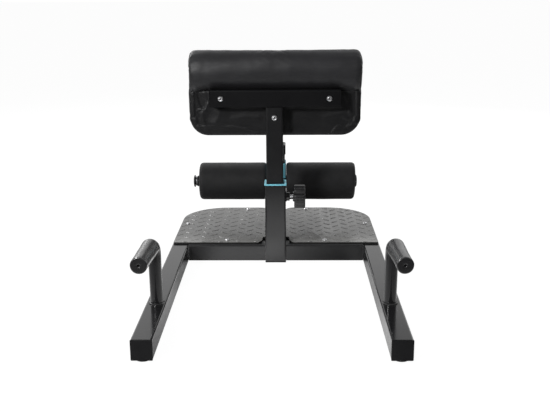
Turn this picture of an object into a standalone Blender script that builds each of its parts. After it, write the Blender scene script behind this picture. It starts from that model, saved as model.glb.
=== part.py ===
"""Squat machine: a floor frame with push-up handles, foot plates, a height-adjustable
calf pad and a height-adjustable pair of ankle rollers.

Metres, +Z up. +X is the user's right hand side when the machine is seen from behind the
pad, +Y points from the pad's post towards the rollers and the toes. Every position below
is measured from the point on the floor under the pad's post; the empty "machine" then
centres the whole object on the origin.
"""

import math

import bmesh
import bpy
from mathutils import Euler, Vector

# Clearances
GAP = 0.0003
RUNNING = 0.0003
SLIDING = 0.0005

# Steel frame
FRAME_WIDTH = 0.505
TUBE = 0.040
TUBE_WALL = 0.002
TUBE_CORNER = 0.0035
RAIL_BEHIND = 0.578
RAIL_AHEAD = 0.198
FRONT_BAR_LENGTH = 0.320
FRONT_BAR_Y = 0.298
FOOT_DIAMETER = 0.028
FOOT_HEIGHT = 0.0038
FOOT_INSET = 0.020
FOOT_TAPER = 0.001

# Plastic end plugs of the square tubes
PLUG_FLANGE = 0.003
PLUG_DEPTH = 0.014
PLUG_ROUNDING = 0.4
INSERT_CORNER = 0.002

# Foot plates
PLATE_THICKNESS = 0.004
PLATE_BEHIND = 0.010
PLATE_AHEAD = 0.319
PLATE_SIDE_INSET = 0.0025
PLATE_GAP = 0.057
PLATE_OUTER_RADIUS = 0.095
PLATE_REAR_RADIUS = 0.004
PLATE_INNER_RADIUS = 0.024
PLATE_CHAMFER_X = 0.013
PLATE_CHAMFER_Y = 0.042
PLATE_SCREW = 0.006
PLATE_SCREW_LENGTH = 0.014
PLATE_SCREW_HEAD = 0.0115
PLATE_SCREW_HEAD_HEIGHT = 0.0030
RAIL_SCREW_Y = 0.155
REAR_SCREW_X = 0.1195
REAR_SCREW_Y = 0.008
FRONT_SCREW_X = 0.0805

# Push-up handles
HANDLE_TUBE = 0.022
HANDLE_WALL = 0.002
HANDLE_Y = -0.397
HANDLE_AXIS_HEIGHT = 0.167
HANDLE_BEND_RADIUS = 0.022
HANDLE_REACH = 0.130
HANDLE_SPLAY = 0.007
GRIP_DIAMETER = 0.032
GRIP_LENGTH = 0.110
GRIP_END_WALL = 0.004
GRIP_VENT = 0.005
GRIP_ROUNDING = 0.0015

# Pad post
POST = 0.050
POST_WALL = 0.002
POST_CORNER = 0.004
POST_TOP = 0.193
POST_FLANGE = 0.0024
BUSHING_RIM = 0.0526
BUSHING_HEIGHT = 0.006
BUSHING_SLEEVE = 0.018
BUSHING_PLAY = 0.0017
BUSHING_ROUNDING = 0.0008
INNER_OFFSET = -0.00135
INNER_BOTTOM = 0.090
PAD_BAR_INSET = 0.0486
PAD_BAR_BOTTOM = 0.3792
PAD_BAR_FLANGE = 0.0025

# Pad
PAD_WIDTH = 0.404
PAD_BOTTOM = 0.3055
PAD_TOP = 0.5095
PAD_FRONT = 0.0765
PAD_CROWN = 0.004
PAD_CORNER = 0.045
PAD_WAIST = 0.0022
PAD_EDGE = 0.009
ROLL_REAR = -0.016
ROLL_CLEARANCE = 0.0018
BOARD_THICKNESS = 0.012
BOARD_MARGIN = 0.003
BOARD_CORNER = 0.010
BOARD_TOP_DROP = 0.0050

# Pad bolts
BOLT = 0.008
BOLT_HEAD = 0.0135
BOLT_HEAD_HEIGHT = 0.0044
BOLT_SOCKET = 0.005
BOLT_FROM_BAR_END = 0.0272
BOLT_ON_POST = 0.0445

# Lock knobs
LOCK_HEIGHT = 0.161
LOCK_BOSS = 0.021
LOCK_BOSS_LENGTH = 0.009
LOCK_THREAD = 0.010
LOCK_THREAD_DEPTH = 0.0007
LOCK_PITCH = 0.002
LOCK_SHOWN = 0.0077
LOCK_CHAMFER = 0.001
KNOB_DIAMETER = 0.056
KNOB_THICKNESS = 0.0265
KNOB_HUB = 0.024
KNOB_HUB_LENGTH = 0.0045
KNOB_HUB_OVERLAP = 0.002
KNOB_LOBES = 9
KNOB_LOBE_DEPTH = 0.0032
KNOB_SOCKET_DEPTH = 0.016
KNOB_ROUNDING = 0.002

# Ankle roller assembly
UPRIGHT = 0.045
UPRIGHT_Y = 0.200
UPRIGHT_TOP = 0.253
UPRIGHT_CAP = 0.048
UPRIGHT_CAP_SKIRT = 0.0247
UPRIGHT_CAP_CROWN = 0.0055
UPRIGHT_CAP_ROUNDING = 0.0035
UPRIGHT_CAP_CORNER = 0.0055
CARRIAGE = 0.050
CARRIAGE_WALL = 0.002
CARRIAGE_BOTTOM = 0.112
CARRIAGE_TOP = 0.166
COLLAR = 0.0504
COLLAR_HEIGHT = 0.043
ROLLER_LOCK_HEIGHT = 0.134
ROLLER_HEIGHT = 0.1533
ROLLER_DIAMETER = 0.095
ROLLER_LENGTH = 0.1805
ROLLER_SIDE_GAP = 0.0014
ROLLER_ROUNDING = 0.007
CORE_DIAMETER = 0.030
AXLE = 0.025
AXLE_WALL = 0.002
AXLE_STAND_OUT = 0.0008
LEFT_AXLE_EXTRA = 0.005
LEFT_PLUG_PULLED = 0.0022
AXLE_PLUG_FLANGE = 0.032
AXLE_PLUG_HEIGHT = 0.0045
AXLE_PLUG_DEPTH = 0.014
AXLE_PLUG_CHAMFER = 0.001

# Sizes that follow from the ones above
FRAME_BOTTOM = FOOT_HEIGHT + GAP
FRAME_MID = FRAME_BOTTOM + TUBE / 2
FRAME_TOP = FRAME_BOTTOM + TUBE
RAIL_X = FRAME_WIDTH / 2 - TUBE / 2
PLATE_BOTTOM = FRAME_TOP + GAP
PLATE_TOP = PLATE_BOTTOM + PLATE_THICKNESS
FRONT_BAR_END = FRONT_BAR_LENGTH / 2
MACHINE_Y = (RAIL_BEHIND - PLATE_AHEAD) / 2
PAD_BAR_LENGTH = PAD_WIDTH - 2 * PAD_BAR_INSET
BOLT_SPREAD = PAD_BAR_LENGTH / 2 - BOLT_FROM_BAR_END
PAD_BAR_MID = PAD_BAR_BOTTOM + TUBE / 2
PAD_BAR_TOP = PAD_BAR_BOTTOM + TUBE
BOARD_REAR = TUBE / 2 + GAP
BOARD_FRONT = BOARD_REAR + BOARD_THICKNESS
CUSHION_REAR = BOARD_FRONT + GAP
ROLL_UNDERSIDE = PAD_BAR_TOP + ROLL_CLEARANCE
BOARD_TOP = ROLL_UNDERSIDE - BOARD_TOP_DROP
LOWER_BOLT_Z = PAD_BAR_MID - BOLT_ON_POST
COLLAR_BOTTOM = CARRIAGE_TOP + GAP
ROLLER_INNER_X = CARRIAGE / 2 + ROLLER_SIDE_GAP
ROLLER_MID_X = ROLLER_INNER_X + ROLLER_LENGTH / 2
ROLLER_OUTER_X = ROLLER_INNER_X + ROLLER_LENGTH
CORE_WALL = (CORE_DIAMETER - AXLE) / 2 - RUNNING
LOCK_LENGTH = LOCK_BOSS_LENGTH + LOCK_SHOWN
PAD_LOCK_FACE = (POST / 2, 0.0, LOCK_HEIGHT)
PAD_LOCK_REACH = POST / 2 - (INNER_OFFSET + TUBE / 2) - GAP
ROLLER_LOCK_FACE = (0.0, UPRIGHT_Y + CARRIAGE / 2, ROLLER_LOCK_HEIGHT)
ROLLER_LOCK_REACH = CARRIAGE / 2 - UPRIGHT / 2 - GAP

ROUND_STEPS = 24
HOLE_STEPS = 16
SCREW_STEPS = 12
PLUG_STEPS = 16
ROLLER_STEPS = 28
KNOB_LOBE_STEPS = 4
CORNER_STEPS = 3
SMOOTH_ANGLE = math.radians(35)

PARTS_COLLECTION = "squat_machine"
CUTTERS_COLLECTION = "squat_machine_cutters"


def clear_scene():
    for existing in list(bpy.data.objects):
        bpy.data.objects.remove(existing, do_unlink=True)


def new_collection(name):
    collection = bpy.data.collections.new(name)
    bpy.context.scene.collection.children.link(collection)
    return collection


clear_scene()
parts = new_collection(PARTS_COLLECTION)
cutters = new_collection(CUTTERS_COLLECTION)


# Materials

def new_material(name, colour, roughness, metallic=0.0):
    material = bpy.data.materials.new(name)
    material.use_nodes = True
    shader = material.node_tree.nodes["Principled BSDF"]
    shader.inputs["Base Color"].default_value = (*colour, 1.0)
    shader.inputs["Roughness"].default_value = roughness
    shader.inputs["Metallic"].default_value = metallic
    return material


FRAME_PAINT = new_material("frame_paint", (0.035, 0.035, 0.037), 0.42)
PLATE_PAINT = new_material("plate_paint", (0.075, 0.075, 0.077), 0.38)
BLACK_PLASTIC = new_material("black_plastic", (0.018, 0.018, 0.019), 0.55)
RUBBER = new_material("rubber", (0.015, 0.015, 0.015), 0.85)
BLUE_PLASTIC = new_material("blue_plastic", (0.18, 0.47, 0.60), 0.45)
BLACK_VINYL = new_material("black_vinyl", (0.016, 0.016, 0.018), 0.40)
BLACK_FOAM = new_material("black_foam", (0.013, 0.013, 0.014), 0.80)
ZINC_STEEL = new_material("zinc_steel", (0.62, 0.62, 0.63), 0.30, 1.0)
AXLE_STEEL = new_material("axle_steel", (0.30, 0.30, 0.31), 0.35, 1.0)


# Joint axes, as empties that carry the moving pieces

def new_holder(name, location, parent=None):
    holder = bpy.data.objects.new(name, None)
    holder.empty_display_size = 0.05
    parts.objects.link(holder)
    holder["place"] = location
    origin = Vector((0.0, 0.0, 0.0))
    if parent is not None:
        holder.parent = parent
        origin = Vector(parent["place"])
    holder.location = Vector(location) - origin
    return holder


MACHINE = new_holder("machine", (0.0, 0.0, 0.0))
MACHINE.location.y = MACHINE_Y
PAD_SLIDE = new_holder("pad_slide", (0.0, 0.0, POST_TOP), MACHINE)
ROLLER_SLIDE = new_holder("roller_slide", (0.0, UPRIGHT_Y, ROLLER_HEIGHT), MACHINE)
PAD_LOCK = new_holder("pad_lock", PAD_LOCK_FACE, MACHINE)
ROLLER_LOCK = new_holder("roller_lock", ROLLER_LOCK_FACE, ROLLER_SLIDE)
ROLLER_AXIS = {}
for axis_side, axis_sign in (("left", -1), ("right", 1)):
    ROLLER_AXIS[axis_side] = new_holder(
        "roller_axis_" + axis_side,
        (axis_sign * ROLLER_MID_X, UPRIGHT_Y, ROLLER_HEIGHT), ROLLER_SLIDE)


# Placing and cutting

ALONG_X = (0.0, math.pi / 2, 0.0)
ALONG_MINUS_X = (0.0, -math.pi / 2, 0.0)
ALONG_Y = (-math.pi / 2, 0.0, 0.0)
ALONG_MINUS_Y = (math.pi / 2, 0.0, 0.0)
ALONG_Z = (0.0, 0.0, 0.0)
ALONG_MINUS_Z = (math.pi, 0.0, 0.0)


def axis_of(turn):
    """The direction in which a turned piece's local Z points."""
    axis = Vector((0.0, 0.0, 1.0))
    axis.rotate(Euler(turn))
    return axis


def place(piece, material, location, turn=ALONG_Z, holder=MACHINE):
    """Puts a piece's local origin at a location and its local Z along the turned axis."""
    piece.rotation_euler = turn
    piece.location = Vector(location) - Vector(holder["place"])
    piece.parent = holder
    piece.data.materials.clear()
    piece.data.materials.append(material)
    return piece


def link_mesh(name, mesh, smooth=True):
    if smooth:
        mesh.shade_smooth()
        mesh.set_sharp_from_angle(angle=SMOOTH_ANGLE)
    piece = bpy.data.objects.new(name, mesh)
    parts.objects.link(piece)
    return piece


def add_bevel(piece, width, segments=2, angle=math.radians(40)):
    bevel = piece.modifiers.new("edges", "BEVEL")
    bevel.width = width
    bevel.segments = segments
    bevel.limit_method = "ANGLE"
    bevel.angle_limit = angle
    return bevel


def combine(piece, cutter, operation):
    """Joins or subtracts a cutter, which moves to the cutters' collection."""
    for collection in list(cutter.users_collection):
        collection.objects.unlink(cutter)
    cutters.objects.link(cutter)
    cutter.hide_render = True
    cutter.display_type = "WIRE"
    boolean = piece.modifiers.new(cutter.name, "BOOLEAN")
    boolean.operation = operation
    boolean.solver = "EXACT"
    boolean.object = cutter
    return piece


def cut(piece, cutter):
    return combine(piece, cutter, "DIFFERENCE")


def round_cutter(name, radius, length, location, turn=ALONG_Z, holder=MACHINE):
    mesh = bpy.data.meshes.new(name)
    shape = bmesh.new()
    bmesh.ops.create_cone(
        shape, cap_ends=True, segments=HOLE_STEPS, radius1=radius, radius2=radius,
        depth=length)
    shape.to_mesh(mesh)
    shape.free()
    cutter = link_mesh(name, mesh, smooth=False)
    return place(cutter, BLACK_PLASTIC, location, turn, holder)


# Outlines

def arc(centre, radius, start, end, steps):
    """Points of an arc, angles in degrees, both ends included."""
    points = []
    for step in range(steps + 1):
        angle = math.radians(start + (end - start) * step / steps)
        x = centre[0] + radius * math.cos(angle)
        y = centre[1] + radius * math.sin(angle)
        points.append((x, y))
    return points


def rounded_rectangle(width, height, radius, steps=CORNER_STEPS):
    half_x = width / 2 - radius
    half_y = height / 2 - radius
    points = []
    points += arc((half_x, half_y), radius, 0, 90, steps)
    points += arc((-half_x, half_y), radius, 90, 180, steps)
    points += arc((-half_x, -half_y), radius, 180, 270, steps)
    points += arc((half_x, -half_y), radius, 270, 360, steps)
    return points


def circle(radius, steps=ROUND_STEPS):
    return arc((0.0, 0.0), radius, 0, 360 * (steps - 1) / steps, steps - 1)


def extruded(name, outline, thickness, fill="BOTH"):
    """A flat outline, as thick as said and centred on local Z = 0."""
    curve = bpy.data.curves.new(name, "CURVE")
    curve.dimensions = "2D"
    curve.fill_mode = fill
    curve.extrude = thickness / 2
    spline = curve.splines.new("POLY")
    spline.points.add(len(outline) - 1)
    for point, (x, y) in zip(spline.points, outline):
        point.co = (x, y, 0.0, 1.0)
    spline.use_cyclic_u = True
    return meshed(name, curve)


def meshed(name, curve):
    """Turns a curve into a welded mesh object."""
    drawn = bpy.data.objects.new(name + "_curve", curve)
    parts.objects.link(drawn)
    bpy.context.view_layer.update()
    evaluated = drawn.evaluated_get(bpy.context.evaluated_depsgraph_get())
    mesh = bpy.data.meshes.new_from_object(evaluated)
    shape = bmesh.new()
    shape.from_mesh(mesh)
    bmesh.ops.remove_doubles(shape, verts=shape.verts, dist=0.00001)
    shape.to_mesh(mesh)
    shape.free()
    mesh.name = name
    bpy.data.objects.remove(drawn, do_unlink=True)
    return link_mesh(name, mesh)


def add_wall(piece, wall):
    """Gives an open surface a wall on its inner side."""
    shell = piece.modifiers.new("wall", "SOLIDIFY")
    shell.thickness = wall
    shell.offset = -1.0
    shell.use_even_offset = True
    shell.use_rim = True
    return piece


def square_cutter(name, size, corner, length, location):
    cutter = extruded(name, rounded_rectangle(size, size, corner), length)
    return place(cutter, BLACK_PLASTIC, location)


def square_tube(name, size, wall, corner, length):
    outline = rounded_rectangle(size, size, corner)
    return add_wall(extruded(name, outline, length, fill="NONE"), wall)


def round_tube(name, diameter, wall, length):
    return add_wall(extruded(name, circle(diameter / 2), length, fill="NONE"), wall)


def turned(name, profile, closed=False, steps=ROUND_STEPS):
    """Turns a profile of (radius, height) points, listed down its outer side, about Z."""
    mesh = bpy.data.meshes.new(name)
    vertices = [(radius, 0.0, height) for radius, height in profile]
    edges = [(index, index + 1) for index in range(len(profile) - 1)]
    if closed:
        edges.append((len(profile) - 1, 0))
    mesh.from_pydata(vertices, edges, [])
    piece = bpy.data.objects.new(name, mesh)
    parts.objects.link(piece)
    screw = piece.modifiers.new("turn", "SCREW")
    screw.steps = steps
    screw.render_steps = steps
    screw.use_merge_vertices = True
    screw.merge_threshold = 0.00001
    screw.use_smooth_shade = True
    return piece


def rounded_block(name, width, low, high, rounding, rims):
    """A square block between two local heights; its rims are rounded too if so said."""
    mesh = bpy.data.meshes.new(name)
    shape = bmesh.new()
    bmesh.ops.create_cube(shape, size=1.0)
    bmesh.ops.scale(shape, vec=(width, width, high - low), verts=shape.verts)
    bmesh.ops.translate(shape, vec=(0.0, 0.0, (low + high) / 2), verts=shape.verts)
    chosen = []
    for edge in shape.edges:
        first, last = edge.verts
        upright = abs(first.co.z - last.co.z) > rounding
        if rims or upright:
            chosen.append(edge)
    bmesh.ops.bevel(shape, geom=chosen, offset=rounding, segments=1, affect="EDGES")
    shape.to_mesh(mesh)
    shape.free()
    return link_mesh(name, mesh)


def flanged_plug(name, flange, flange_height, insert, insert_depth, rounding):
    """A square flange above local Z = 0 and, as a second object, its insert below it."""
    plug = rounded_block(name, flange, 0.0, flange_height, rounding, True)
    stub = rounded_block(
        name + "_insert", insert, -insert_depth, flange_height / 2, INSERT_CORNER, False)
    return plug, stub


def end_plug(name, tube, wall, flange_height, location, turn, holder=MACHINE):
    """A plastic plug whose flange covers a tube's end and whose insert sits in its bore.

    The location is the tube's end face, and local Z points out of the tube."""
    insert = tube - 2 * wall - 2 * GAP
    rounding = flange_height * PLUG_ROUNDING
    plug, stub = flanged_plug(name, tube, flange_height, insert, PLUG_DEPTH, rounding)
    seat = Vector(location) + axis_of(turn) * GAP
    place(plug, BLACK_PLASTIC, seat, turn, holder)
    place(stub, BLACK_PLASTIC, seat, turn, holder)
    return combine(plug, stub, "UNION")


# Frame

def make_rail(side_name, side):
    """A side rail with its plugs; the plugs' outer faces are the frame's ends."""
    rear_end = -RAIL_BEHIND + PLUG_FLANGE + GAP
    front_end = RAIL_AHEAD - PLUG_FLANGE - GAP
    x = side * RAIL_X
    rail = square_tube(
        "rail_" + side_name, TUBE, TUBE_WALL, TUBE_CORNER, front_end - rear_end)
    place(rail, FRAME_PAINT, (x, (front_end + rear_end) / 2, FRAME_MID), ALONG_Y)
    hole = round_cutter(
        "rail_screw_hole_" + side_name, PLATE_SCREW / 2 + GAP, TUBE,
        (x, RAIL_SCREW_Y, FRAME_TOP))
    cut(rail, hole)
    end_plug("rail_plug_rear_" + side_name, TUBE, TUBE_WALL, PLUG_FLANGE,
             (x, rear_end, FRAME_MID), ALONG_MINUS_Y)
    end_plug("rail_plug_front_" + side_name, TUBE, TUBE_WALL, PLUG_FLANGE,
             (x, front_end, FRAME_MID), ALONG_Y)


def make_foot(name, x, y):
    mesh = bpy.data.meshes.new(name)
    shape = bmesh.new()
    bmesh.ops.create_cone(
        shape, cap_ends=True, segments=ROUND_STEPS, radius1=FOOT_DIAMETER / 2 - FOOT_TAPER,
        radius2=FOOT_DIAMETER / 2, depth=FOOT_HEIGHT)
    shape.to_mesh(mesh)
    shape.free()
    foot = link_mesh(name, mesh)
    place(foot, RUBBER, (x, y, FOOT_HEIGHT / 2))


def make_rear_crossbar(side_name, side):
    """Half of the rear cross bar, between a rail and the pad post."""
    inner = POST / 2 + GAP
    outer = RAIL_X - TUBE / 2 - GAP
    x = side * (inner + outer) / 2
    bar = square_tube(
        "crossbar_rear_" + side_name, TUBE, TUBE_WALL, TUBE_CORNER, outer - inner)
    place(bar, FRAME_PAINT, (x, 0.0, FRAME_MID), ALONG_X)
    hole = round_cutter(
        "crossbar_screw_hole_" + side_name, PLATE_SCREW / 2 + GAP, TUBE,
        (side * REAR_SCREW_X, REAR_SCREW_Y, FRAME_TOP))
    cut(bar, hole)


def make_front_frame():
    """The centre beam under the plates' gap and the front cross bar under their tips."""
    beam_start = POST / 2 + GAP
    beam_end = FRONT_BAR_Y - TUBE / 2 - GAP
    beam = square_tube("centre_beam", TUBE, TUBE_WALL, TUBE_CORNER, beam_end - beam_start)
    place(beam, FRAME_PAINT, (0.0, (beam_start + beam_end) / 2, FRAME_MID), ALONG_Y)
    tube_end = FRONT_BAR_END - PLUG_FLANGE - GAP
    bar = square_tube("crossbar_front", TUBE, TUBE_WALL, TUBE_CORNER, 2 * tube_end)
    place(bar, FRAME_PAINT, (0.0, FRONT_BAR_Y, FRAME_MID), ALONG_X)
    for side_name, side, turn in (("left", -1, ALONG_MINUS_X), ("right", 1, ALONG_X)):
        hole = round_cutter(
            "front_screw_hole_" + side_name, PLATE_SCREW / 2 + GAP, TUBE,
            (side * FRONT_SCREW_X, FRONT_BAR_Y, FRAME_TOP))
        cut(bar, hole)
        end_plug("crossbar_plug_" + side_name, TUBE, TUBE_WALL, PLUG_FLANGE,
                 (side * tube_end, FRONT_BAR_Y, FRAME_MID), turn)
        make_foot("foot_front_" + side_name, side * (FRONT_BAR_END - FOOT_INSET),
                  FRONT_BAR_Y)


# Foot plates

def plate_outline(side):
    """One plate seen from above, from its rear outer corner round by the toes."""
    outer = FRAME_WIDTH / 2 - PLATE_SIDE_INSET
    inner = PLATE_GAP / 2
    big = PLATE_OUTER_RADIUS
    small = PLATE_REAR_RADIUS
    inside = PLATE_INNER_RADIUS
    points = []
    points += arc((outer - small, -PLATE_BEHIND + small), small, 270, 360, 3)
    points += arc((outer - big, PLATE_AHEAD - big), big, 0, 90, 12)
    points += arc((inner + inside, PLATE_AHEAD - inside), inside, 90, 180, 6)
    points.append((inner, -PLATE_BEHIND + PLATE_CHAMFER_Y))
    points.append((inner + PLATE_CHAMFER_X, -PLATE_BEHIND))
    return [(side * x, y) for x, y in points]


def plate_screw_places(side):
    return [
        ("rail", (side * RAIL_X, RAIL_SCREW_Y)),
        ("rear", (side * REAR_SCREW_X, REAR_SCREW_Y)),
        ("front", (side * FRONT_SCREW_X, FRONT_BAR_Y)),
    ]


def make_button_screw(name, diameter, length, head, head_height, socket, location, turn,
                      holder=MACHINE):
    """A button-head screw: local Z points out of the head, whose underside is at Z = 0."""
    profile = [
        (0.0, head_height),
        (head * 0.24, head_height * 0.96),
        (head * 0.40, head_height * 0.66),
        (head * 0.485, head_height * 0.28),
        (head / 2, 0.0),
        (diameter / 2, 0.0),
        (diameter / 2, -length + diameter / 8),
        (diameter * 0.38, -length),
        (0.0, -length),
    ]
    screw = turned(name, profile, steps=SCREW_STEPS)
    place(screw, ZINC_STEEL, location, turn, holder)
    mesh = bpy.data.meshes.new(name + "_socket")
    shape = bmesh.new()
    bmesh.ops.create_cone(
        shape, cap_ends=True, segments=6, radius1=socket / math.sqrt(3),
        radius2=socket / math.sqrt(3), depth=head_height)
    bmesh.ops.translate(shape, vec=(0.0, 0.0, head_height * 0.94), verts=shape.verts)
    shape.to_mesh(mesh)
    shape.free()
    driver_socket = link_mesh(name + "_socket", mesh, smooth=False)
    place(driver_socket, ZINC_STEEL, location, turn, holder)
    cut(screw, driver_socket)
    return screw


def make_foot_plate(side_name, side):
    plate = extruded("foot_plate_" + side_name, plate_outline(side), PLATE_THICKNESS)
    place(plate, PLATE_PAINT, (0.0, 0.0, PLATE_BOTTOM + PLATE_THICKNESS / 2))
    for where, (x, y) in plate_screw_places(side):
        label = where + "_" + side_name
        hole = round_cutter(
            "plate_hole_" + label, PLATE_SCREW / 2 + GAP, 4 * PLATE_THICKNESS,
            (x, y, PLATE_TOP))
        cut(plate, hole)
        make_button_screw(
            "plate_screw_" + label, PLATE_SCREW, PLATE_SCREW_LENGTH, PLATE_SCREW_HEAD,
            PLATE_SCREW_HEAD_HEIGHT, PLATE_SCREW * 0.62, (x, y, PLATE_TOP + GAP), ALONG_Z)


# Push-up handles

def handle_path(side):
    """Centre line of a handle: up from the rail, round the bend, then back to the user."""
    foot = Vector((0.0, 0.0, FRAME_TOP + GAP))
    corner = Vector((0.0, 0.0, HANDLE_AXIS_HEIGHT))
    tip = Vector((side * HANDLE_SPLAY, -HANDLE_REACH, HANDLE_AXIS_HEIGHT))
    back = (tip - corner).normalized()
    centre = corner - Vector((0.0, 0.0, HANDLE_BEND_RADIUS)) + back * HANDLE_BEND_RADIUS
    points = [foot]
    bend_steps = 6
    for step in range(bend_steps + 1):
        angle = math.pi / 2 * step / bend_steps
        up = Vector((0.0, 0.0, math.sin(angle)))
        points.append(centre + HANDLE_BEND_RADIUS * (up - back * math.cos(angle)))
    points.append(tip)
    return points, back


def make_handle(side_name, side):
    points, back = handle_path(side)
    curve = bpy.data.curves.new("handle_" + side_name, "CURVE")
    curve.dimensions = "3D"
    curve.bevel_depth = HANDLE_TUBE / 2
    curve.bevel_resolution = 2
    curve.use_fill_caps = False
    spline = curve.splines.new("POLY")
    spline.points.add(len(points) - 1)
    for point, spot in zip(spline.points, points):
        point.co = (*spot, 1.0)
    handle = meshed("handle_" + side_name, curve)
    x = side * RAIL_X
    place(handle, FRAME_PAINT, (x, HANDLE_Y, 0.0))
    add_wall(handle, HANDLE_WALL)

    bore = HANDLE_TUBE / 2 + GAP
    outer = GRIP_DIAMETER / 2
    soft = GRIP_ROUNDING
    tip = GRIP_END_WALL + GAP
    profile = [
        (GRIP_VENT / 2, tip),
        (outer - soft, tip),
        (outer, tip - soft),
        (outer, tip - GRIP_LENGTH + soft),
        (outer - soft, tip - GRIP_LENGTH),
        (bore, tip - GRIP_LENGTH),
        (bore, GAP),
        (GRIP_VENT / 2, GAP),
    ]
    grip = turned("grip_" + side_name, profile, closed=True)
    turn = back.to_track_quat("Z", "Y").to_euler()
    place(grip, BLACK_FOAM, Vector((x, HANDLE_Y, 0.0)) + points[-1], turn)


# Pad post

def make_post():
    post = square_tube("post_outer", POST, POST_WALL, POST_CORNER, POST_TOP - FRAME_BOTTOM)
    place(post, FRAME_PAINT, (0.0, 0.0, (POST_TOP + FRAME_BOTTOM) / 2))
    hole = round_cutter(
        "post_lock_hole", LOCK_THREAD / 2 + GAP, POST / 2, PAD_LOCK_FACE, ALONG_X)
    cut(post, hole)
    end_plug("post_plug", POST, POST_WALL, POST_FLANGE, (0.0, 0.0, FRAME_BOTTOM),
             ALONG_MINUS_Z)
    opening = TUBE + 2 * BUSHING_PLAY
    sleeve = POST - 2 * POST_WALL - 2 * GAP
    bushing, insert = flanged_plug("post_bushing", BUSHING_RIM, BUSHING_HEIGHT, sleeve,
                                   BUSHING_SLEEVE, BUSHING_ROUNDING)
    place(bushing, BLUE_PLASTIC, (0.0, 0.0, POST_TOP + GAP))
    place(insert, BLUE_PLASTIC, (0.0, 0.0, POST_TOP + GAP))
    combine(bushing, insert, "UNION")
    bore = square_cutter("bushing_bore", opening, TUBE_CORNER, 4 * BUSHING_SLEEVE,
                         (0.0, 0.0, POST_TOP))
    cut(bushing, bore)


def make_pad_carriage():
    """The inner post with the pad's cross bar welded on top of it."""
    top = PAD_BAR_BOTTOM - GAP
    inner = square_tube("post_inner", TUBE, TUBE_WALL, TUBE_CORNER, top - INNER_BOTTOM)
    place(inner, FRAME_PAINT, (INNER_OFFSET, 0.0, (top + INNER_BOTTOM) / 2),
          holder=PAD_SLIDE)
    hole = round_cutter("post_bolt_hole", BOLT / 2 + GAP, 2 * TUBE,
                        (INNER_OFFSET, 0.0, LOWER_BOLT_Z), ALONG_Y, PAD_SLIDE)
    cut(inner, hole)
    end_plug("post_inner_plug", TUBE, TUBE_WALL, PLUG_FLANGE,
             (INNER_OFFSET, 0.0, INNER_BOTTOM), ALONG_MINUS_Z, PAD_SLIDE)
    tube_end = PAD_BAR_LENGTH / 2 - PAD_BAR_FLANGE - GAP
    bar = square_tube("pad_crossbar", TUBE, TUBE_WALL, TUBE_CORNER, 2 * tube_end)
    place(bar, FRAME_PAINT, (0.0, 0.0, PAD_BAR_MID), ALONG_X, PAD_SLIDE)
    for side_name, side, turn in (("left", -1, ALONG_MINUS_X), ("right", 1, ALONG_X)):
        hole = round_cutter("bar_bolt_hole_" + side_name, BOLT / 2 + GAP, 2 * TUBE,
                            (side * BOLT_SPREAD, 0.0, PAD_BAR_MID), ALONG_Y, PAD_SLIDE)
        cut(bar, hole)
        end_plug("pad_crossbar_plug_" + side_name, TUBE, TUBE_WALL, PAD_BAR_FLANGE,
                 (side * tube_end, 0.0, PAD_BAR_MID), turn, PAD_SLIDE)


# Pad

def pad_bolt_places():
    return [
        ("left", -BOLT_SPREAD, PAD_BAR_MID),
        ("right", BOLT_SPREAD, PAD_BAR_MID),
        ("post", INNER_OFFSET, LOWER_BOLT_Z),
    ]


def make_board():
    """The plywood back of the pad, with the pad's large lower corners."""
    bottom = PAD_BOTTOM + BOARD_MARGIN
    half = PAD_WIDTH / 2 - BOARD_MARGIN
    big = PAD_CORNER - BOARD_MARGIN
    small = BOARD_CORNER
    outline = []
    outline += arc((half - small, BOARD_TOP - small), small, 0, 90, 3)
    outline += arc((-half + small, BOARD_TOP - small), small, 90, 180, 3)
    outline += arc((-half + big, bottom + big), big, 180, 270, 6)
    outline += arc((half - big, bottom + big), big, 270, 360, 6)
    board = extruded("pad_board", outline, BOARD_THICKNESS)
    place(board, BLACK_VINYL, (0.0, (BOARD_REAR + BOARD_FRONT) / 2, 0.0), ALONG_MINUS_Y,
          PAD_SLIDE)
    for label, x, z in pad_bolt_places():
        hole = round_cutter("board_hole_" + label, BOLT / 2 + GAP, 4 * BOARD_THICKNESS,
                            (x, BOARD_REAR, z), ALONG_Y, PAD_SLIDE)
        cut(board, hole)
        make_button_screw(
            "pad_bolt_" + label, BOLT, TUBE + GAP + BOARD_THICKNESS, BOLT_HEAD,
            BOLT_HEAD_HEIGHT, BOLT_SOCKET, (x, -TUBE / 2 - GAP, z), ALONG_MINUS_Y,
            PAD_SLIDE)


def pad_levels():
    """The pad's side view: (share of slab height or None, rear point, front point).

    Below the roll a level follows the slab's rounded lower corners, so it is given as a
    share of the slab's height. The roll's own points are fixed (y, z) pairs."""
    roll_bottom = ROLL_UNDERSIDE
    rise = PAD_TOP - roll_bottom
    front = PAD_FRONT
    rear = ROLL_REAR
    depth = front - rear
    slab = [
        (0.00, CUSHION_REAR + 0.010, front - 0.013),
        (0.05, CUSHION_REAR, front - 0.003),
        (0.35, CUSHION_REAR, front),
        (0.70, CUSHION_REAR, front),
        (0.95, CUSHION_REAR, front),
        (1.00, CUSHION_REAR, front),
    ]
    roll = [
        ((rear + 0.36 * depth, roll_bottom), (front, roll_bottom + 0.12 * rise)),
        ((rear + 0.18 * depth, roll_bottom + 0.04 * rise), (front, roll_bottom + 0.28 * rise)),
        ((rear + 0.04 * depth, roll_bottom + 0.18 * rise), (front, roll_bottom + 0.44 * rise)),
        ((rear, roll_bottom + 0.48 * rise), (front - 0.02 * depth, roll_bottom + 0.62 * rise)),
        ((rear + 0.09 * depth, roll_bottom + 0.80 * rise),
         (front - 0.11 * depth, roll_bottom + 0.84 * rise)),
        ((rear + 0.34 * depth, PAD_TOP), (front - 0.34 * depth, PAD_TOP)),
    ]
    return slab, roll


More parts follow.
